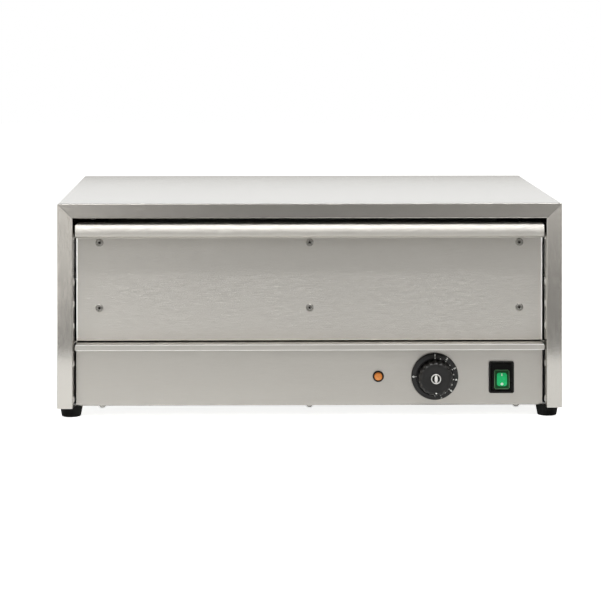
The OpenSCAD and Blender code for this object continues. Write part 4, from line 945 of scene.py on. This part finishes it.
def pulled_in(piece, centre, flute_part, amount):
    """Pulls the grip's columns at one place of every flute towards the axis."""
    step = 2 * math.pi / (FLUTES * COLUMNS_PER_FLUTE)

    def on_it(point):
        arm = point - centre
        height = arm.dot(OUTWARDS) / MM
        if not GRIP_FROM < height < GRIP_TO or math.hypot(arm.x, arm.z) < GRIP_OUTSIDE * MM:
            return False
        column = round(math.atan2(arm.z, arm.x) / step) % COLUMNS_PER_FLUTE
        return min(column, COLUMNS_PER_FLUTE - column) == flute_part

    select_points(piece, on_it)
    bpy.ops.transform.resize(value=(amount, 1, amount), center_override=centre)


knob = turned("knob_body", KNOB_AT, OUTWARDS, KNOB_PROFILE, FLUTES * COLUMNS_PER_FLUTE)
activate(knob)
bpy.ops.object.mode_set(mode="EDIT")
for part in range(COLUMNS_PER_FLUTE // 2):
    dip = FLUTE_MM * (1 + math.cos(2 * math.pi * part / COLUMNS_PER_FLUTE)) / 2
    pulled_in(knob, KNOB_AT, part, 1 - dip / GRIP_R)
bpy.ops.object.mode_set(mode="OBJECT")
settle(knob, "knob", "knob_plastic", ["knob"], angle=FLUTES_ROUND_TO)
print("knob:", len(knob.data.polygons), "faces")

# %% [markdown]
# ## The knob's centre
# A pale ring sits in the middle of the dish, and in it a black disc and the narrow head of the screw that
# holds the knob on its spindle. All three are turned, and the screw head is then squeezed sideways. Its
# slot is cut down its middle by a thin block.

# %% Ring, disc and screw of the knob
RING_PROFILE = ((5.0, 19.2), (5.0, 21.0), (4.9, 21.35), (4.65, 21.5), (4.35, 21.45), (4.15, 21.2),
                (4.1, 20.9), (4.0, 20.1), (2.3, 20.1))
DISC_PROFILE = ((3.95, 20.12), (3.95, 20.2), (3.8, 20.3), (2.3, 20.3))
SCREW_PROFILE = ((3.75, 20.32), (3.8, 20.8), (3.6, 21.2), (2.8, 21.5), (1.5, 21.65), (0, 21.7))
RING_SIDES, DISC_SIDES, SCREW_SIDES = 56, 48, 40
SCREW_SHARE = 0.42
SLOT_BLOCK = (0.7, 1.3, 4.2)

ring = turned("knob_ring", KNOB_AT, OUTWARDS, RING_PROFILE, RING_SIDES)
settle(ring, "knob", "chrome_trim", ["knob_cap"], SATIN_CAP)
disc = turned("knob_disc", KNOB_AT, OUTWARDS, DISC_PROFILE, DISC_SIDES)
settle(disc, "knob", "knob_plastic")
screw = turned("knob_screw", KNOB_AT, OUTWARDS, SCREW_PROFILE, SCREW_SIDES)
activate(screw)
bpy.ops.object.mode_set(mode="EDIT")
bpy.ops.mesh.select_all(action="SELECT")
bpy.ops.transform.resize(value=(SCREW_SHARE, 1, 1), center_override=KNOB_AT)
bpy.ops.object.mode_set(mode="OBJECT")
bpy.ops.object.select_all(action="DESELECT")
bpy.ops.mesh.primitive_cube_add(size=MM, location=KNOB_AT + OUTWARDS * SCREW_PROFILE[-1][1] * MM,
                                scale=SLOT_BLOCK)
cutter = bpy.context.object
activate(screw)
cut = screw.modifiers.new("slot", "BOOLEAN")
cut.object = cutter
cut.operation = "DIFFERENCE"
bpy.ops.object.modifier_apply(modifier=cut.name)
bpy.data.objects.remove(cutter)
settle(screw, "knob", "chrome_trim", finish=SATIN_CAP)
print("knob centre: ring, disc and screw")

# %% [markdown]
# ## The printed dial
# The skirt carries the numbers 1 to 6 over half its round, a dot by each and one between, and 0 with a
# dash at the left. A larger dot on the rim of the grip is the pointer. Text is made a mesh first and then
# laid on the skirt's cone, its foot towards the axis. Printing has no real thickness, so it stands only a
# few hundredths of a millimetre proud.

# %% Dial print
CONE_SLOPE = math.radians(25)
QUARTER_TURN = math.radians(90)
PRINT_T = 0.04
BOLDER = 0.00006
# Places round the dial, in degrees clockwise from the top
NUMBERS = {"1": 0, "2": 34, "3": 67, "4": 98, "5": 131, "6": 163, "0": 270}
DOT_ANGLES = (0, 17, 35, 52, 67, 83, 98, 115, 131, 147, 163, 180)
NUMBER_R, DOT_R, DASH_R = 21.6, 19.0, 19.3
NUMBER_SIZE = 3.3
DOT_SIZE, POINTER_SIZE, DOT_SIDES = 0.6, 0.75, 20
POINTER_OUT, POINTER_DOWN = 21.96, 14.2


def on_the_cone(angle, radius):
    """The frame of a point on the skirt: across, outwards and off the surface."""
    turn = math.radians(angle)
    outwards = Vector((math.sin(turn), 0, math.cos(turn)))
    across = Vector((math.cos(turn), 0, -math.sin(turn)))
    up = outwards * math.cos(CONE_SLOPE) - OUTWARDS * math.sin(CONE_SLOPE)
    off = OUTWARDS * math.cos(CONE_SLOPE) + outwards * math.sin(CONE_SLOPE)
    height = CONE_TOP - (radius - CONE_R) * math.tan(CONE_SLOPE)
    at = KNOB_AT + (outwards * radius + OUTWARDS * (height + PRINT_T / 2)) * MM
    matrix = Matrix((across, up, off)).transposed().to_4x4()
    matrix.translation = at
    return matrix


def written(text, size_mm, matrix):
    """Text as a thin mesh in the plane of a matrix."""
    bpy.ops.object.select_all(action="DESELECT")
    bpy.ops.object.text_add()
    piece = bpy.context.object
    piece.data.body = text
    piece.data.size = size_mm * MM
    piece.data.align_x = "CENTER"
    piece.data.align_y = "CENTER"
    piece.data.extrude = PRINT_T / 2 * MM
    piece.data.offset = BOLDER * size_mm
    bpy.ops.object.convert(target="MESH")
    piece = bpy.context.object
    piece.matrix_world = matrix
    bpy.ops.object.transform_apply(location=True, rotation=True, scale=True)
    return piece


def dot(radius_mm, matrix):
    """A printed dot: a disc drawn up to the print's thickness."""
    bpy.ops.object.select_all(action="DESELECT")
    bpy.ops.mesh.primitive_circle_add(vertices=DOT_SIDES, radius=radius_mm * MM, fill_type="NGON")
    piece = bpy.context.object
    bpy.ops.object.mode_set(mode="EDIT")
    bpy.ops.mesh.select_all(action="SELECT")
    bpy.ops.mesh.extrude_region_move(TRANSFORM_OT_translate={"value": (0, 0, PRINT_T * MM)})
    bpy.ops.mesh.select_all(action="SELECT")
    bpy.ops.mesh.normals_make_consistent(inside=False)
    bpy.ops.object.mode_set(mode="OBJECT")
    piece.matrix_world = matrix
    bpy.ops.object.transform_apply(location=True, rotation=True, scale=True)
    return piece


marks = [written(text, NUMBER_SIZE, on_the_cone(angle, NUMBER_R)) for text, angle in NUMBERS.items()]
marks += [dot(DOT_SIZE, on_the_cone(angle, DOT_R)) for angle in DOT_ANGLES]
upright_dash = on_the_cone(NUMBERS["0"], DASH_R) @ Matrix.Rotation(QUARTER_TURN, 4, "Z")
marks.append(written("-", NUMBER_SIZE, upright_dash))
grip_face = Matrix.Rotation(QUARTER_TURN, 4, "X")
grip_face.translation = KNOB_AT + Vector((0, -POINTER_OUT, -POINTER_DOWN)) * MM
marks.append(dot(POINTER_SIZE, grip_face))
settle(joined("dial_print", marks), "knob", "knob_plastic", finish=PRINT_WHITE)
print("dial marks:", len(marks))

# %% [markdown]
# ## The pilot lamp
# The lamp is a black bezel with a domed amber lens pushed into it. Both are turned. The lens is dimpled
# inside: a bump dimples it, and each cell is painted lighter towards its middle as a painted highlight.

# %% Pilot lamp
LAMP_AT = place(69.4, RECESS, CONTROL_Z)
BEZEL_PROFILE = ((3.6, -28), (3.6, -16), (4.6, -16), (4.6, 0), (5.6, 0), (5.7, 0.1), (5.7, 1.1),
                 (5.55, 1.6), (5.2, 1.95), (4.8, 2.05), (4.4, 1.95), (4.2, 1.6), (4.15, -4.9))
LENS_PROFILE = ((4.0, -4.88), (4.0, 2.2), (3.85, 2.8), (3.45, 3.35), (2.8, 3.8), (1.9, 4.05),
                (0.9, 4.17), (0, 4.2))
BEZEL_SIDES, LENS_SIDES = 64, 48

bezel = turned("lamp_bezel", LAMP_AT, OUTWARDS, BEZEL_PROFILE, BEZEL_SIDES)
settle(bezel, "cabinet", "black_plastic", ["pilot_body"])
lens = turned("lamp_lens", LAMP_AT, OUTWARDS, LENS_PROFILE, LENS_SIDES)
settle(lens, "cabinet", "amber_lens", ["pilot_lens"])
print("lamp: bezel and lens")

# %% [markdown]
# ## The switch's marks
# The lens of the rocker switch carries a short stroke for on above a white ring for off, printed on its
# face. The face leans back with the paddle, so the marks are laid in the same lean.

# %% Marks on the switch
PADDLE_LEAN = math.radians(7)
PIVOT = place(194.2, 21, 28.3)
SIGN_SIZE = 3.0
# Where each sign lies: height and depth in mm from the pivot, and the lens's own slope there in degrees
SIGNS = {"I": (1.9, 9.75, -3.1), "O": (-7.4, 9.5, 6.3)}


def on_the_lens(height, depth, slope):
    """The frame of a point on the paddle's face, given before the paddle leans."""
    leaned_back = Matrix.Translation(PIVOT) @ Matrix.Rotation(-PADDLE_LEAN, 4, "X")
    at = Matrix.Translation(Vector((0, -depth, height)) * MM)
    return leaned_back @ at @ Matrix.Rotation(math.radians(90 + slope), 4, "X")


signs = [written(text, SIGN_SIZE, on_the_lens(*where)) for text, where in SIGNS.items()]
settle(joined("switch_print", signs), "rocker", "paddle_plastic", finish=PRINT_WHITE)
print("switch marks:", len(signs))

# %% [markdown]
# ## Finish

# %% Finish
print("scene dressed")
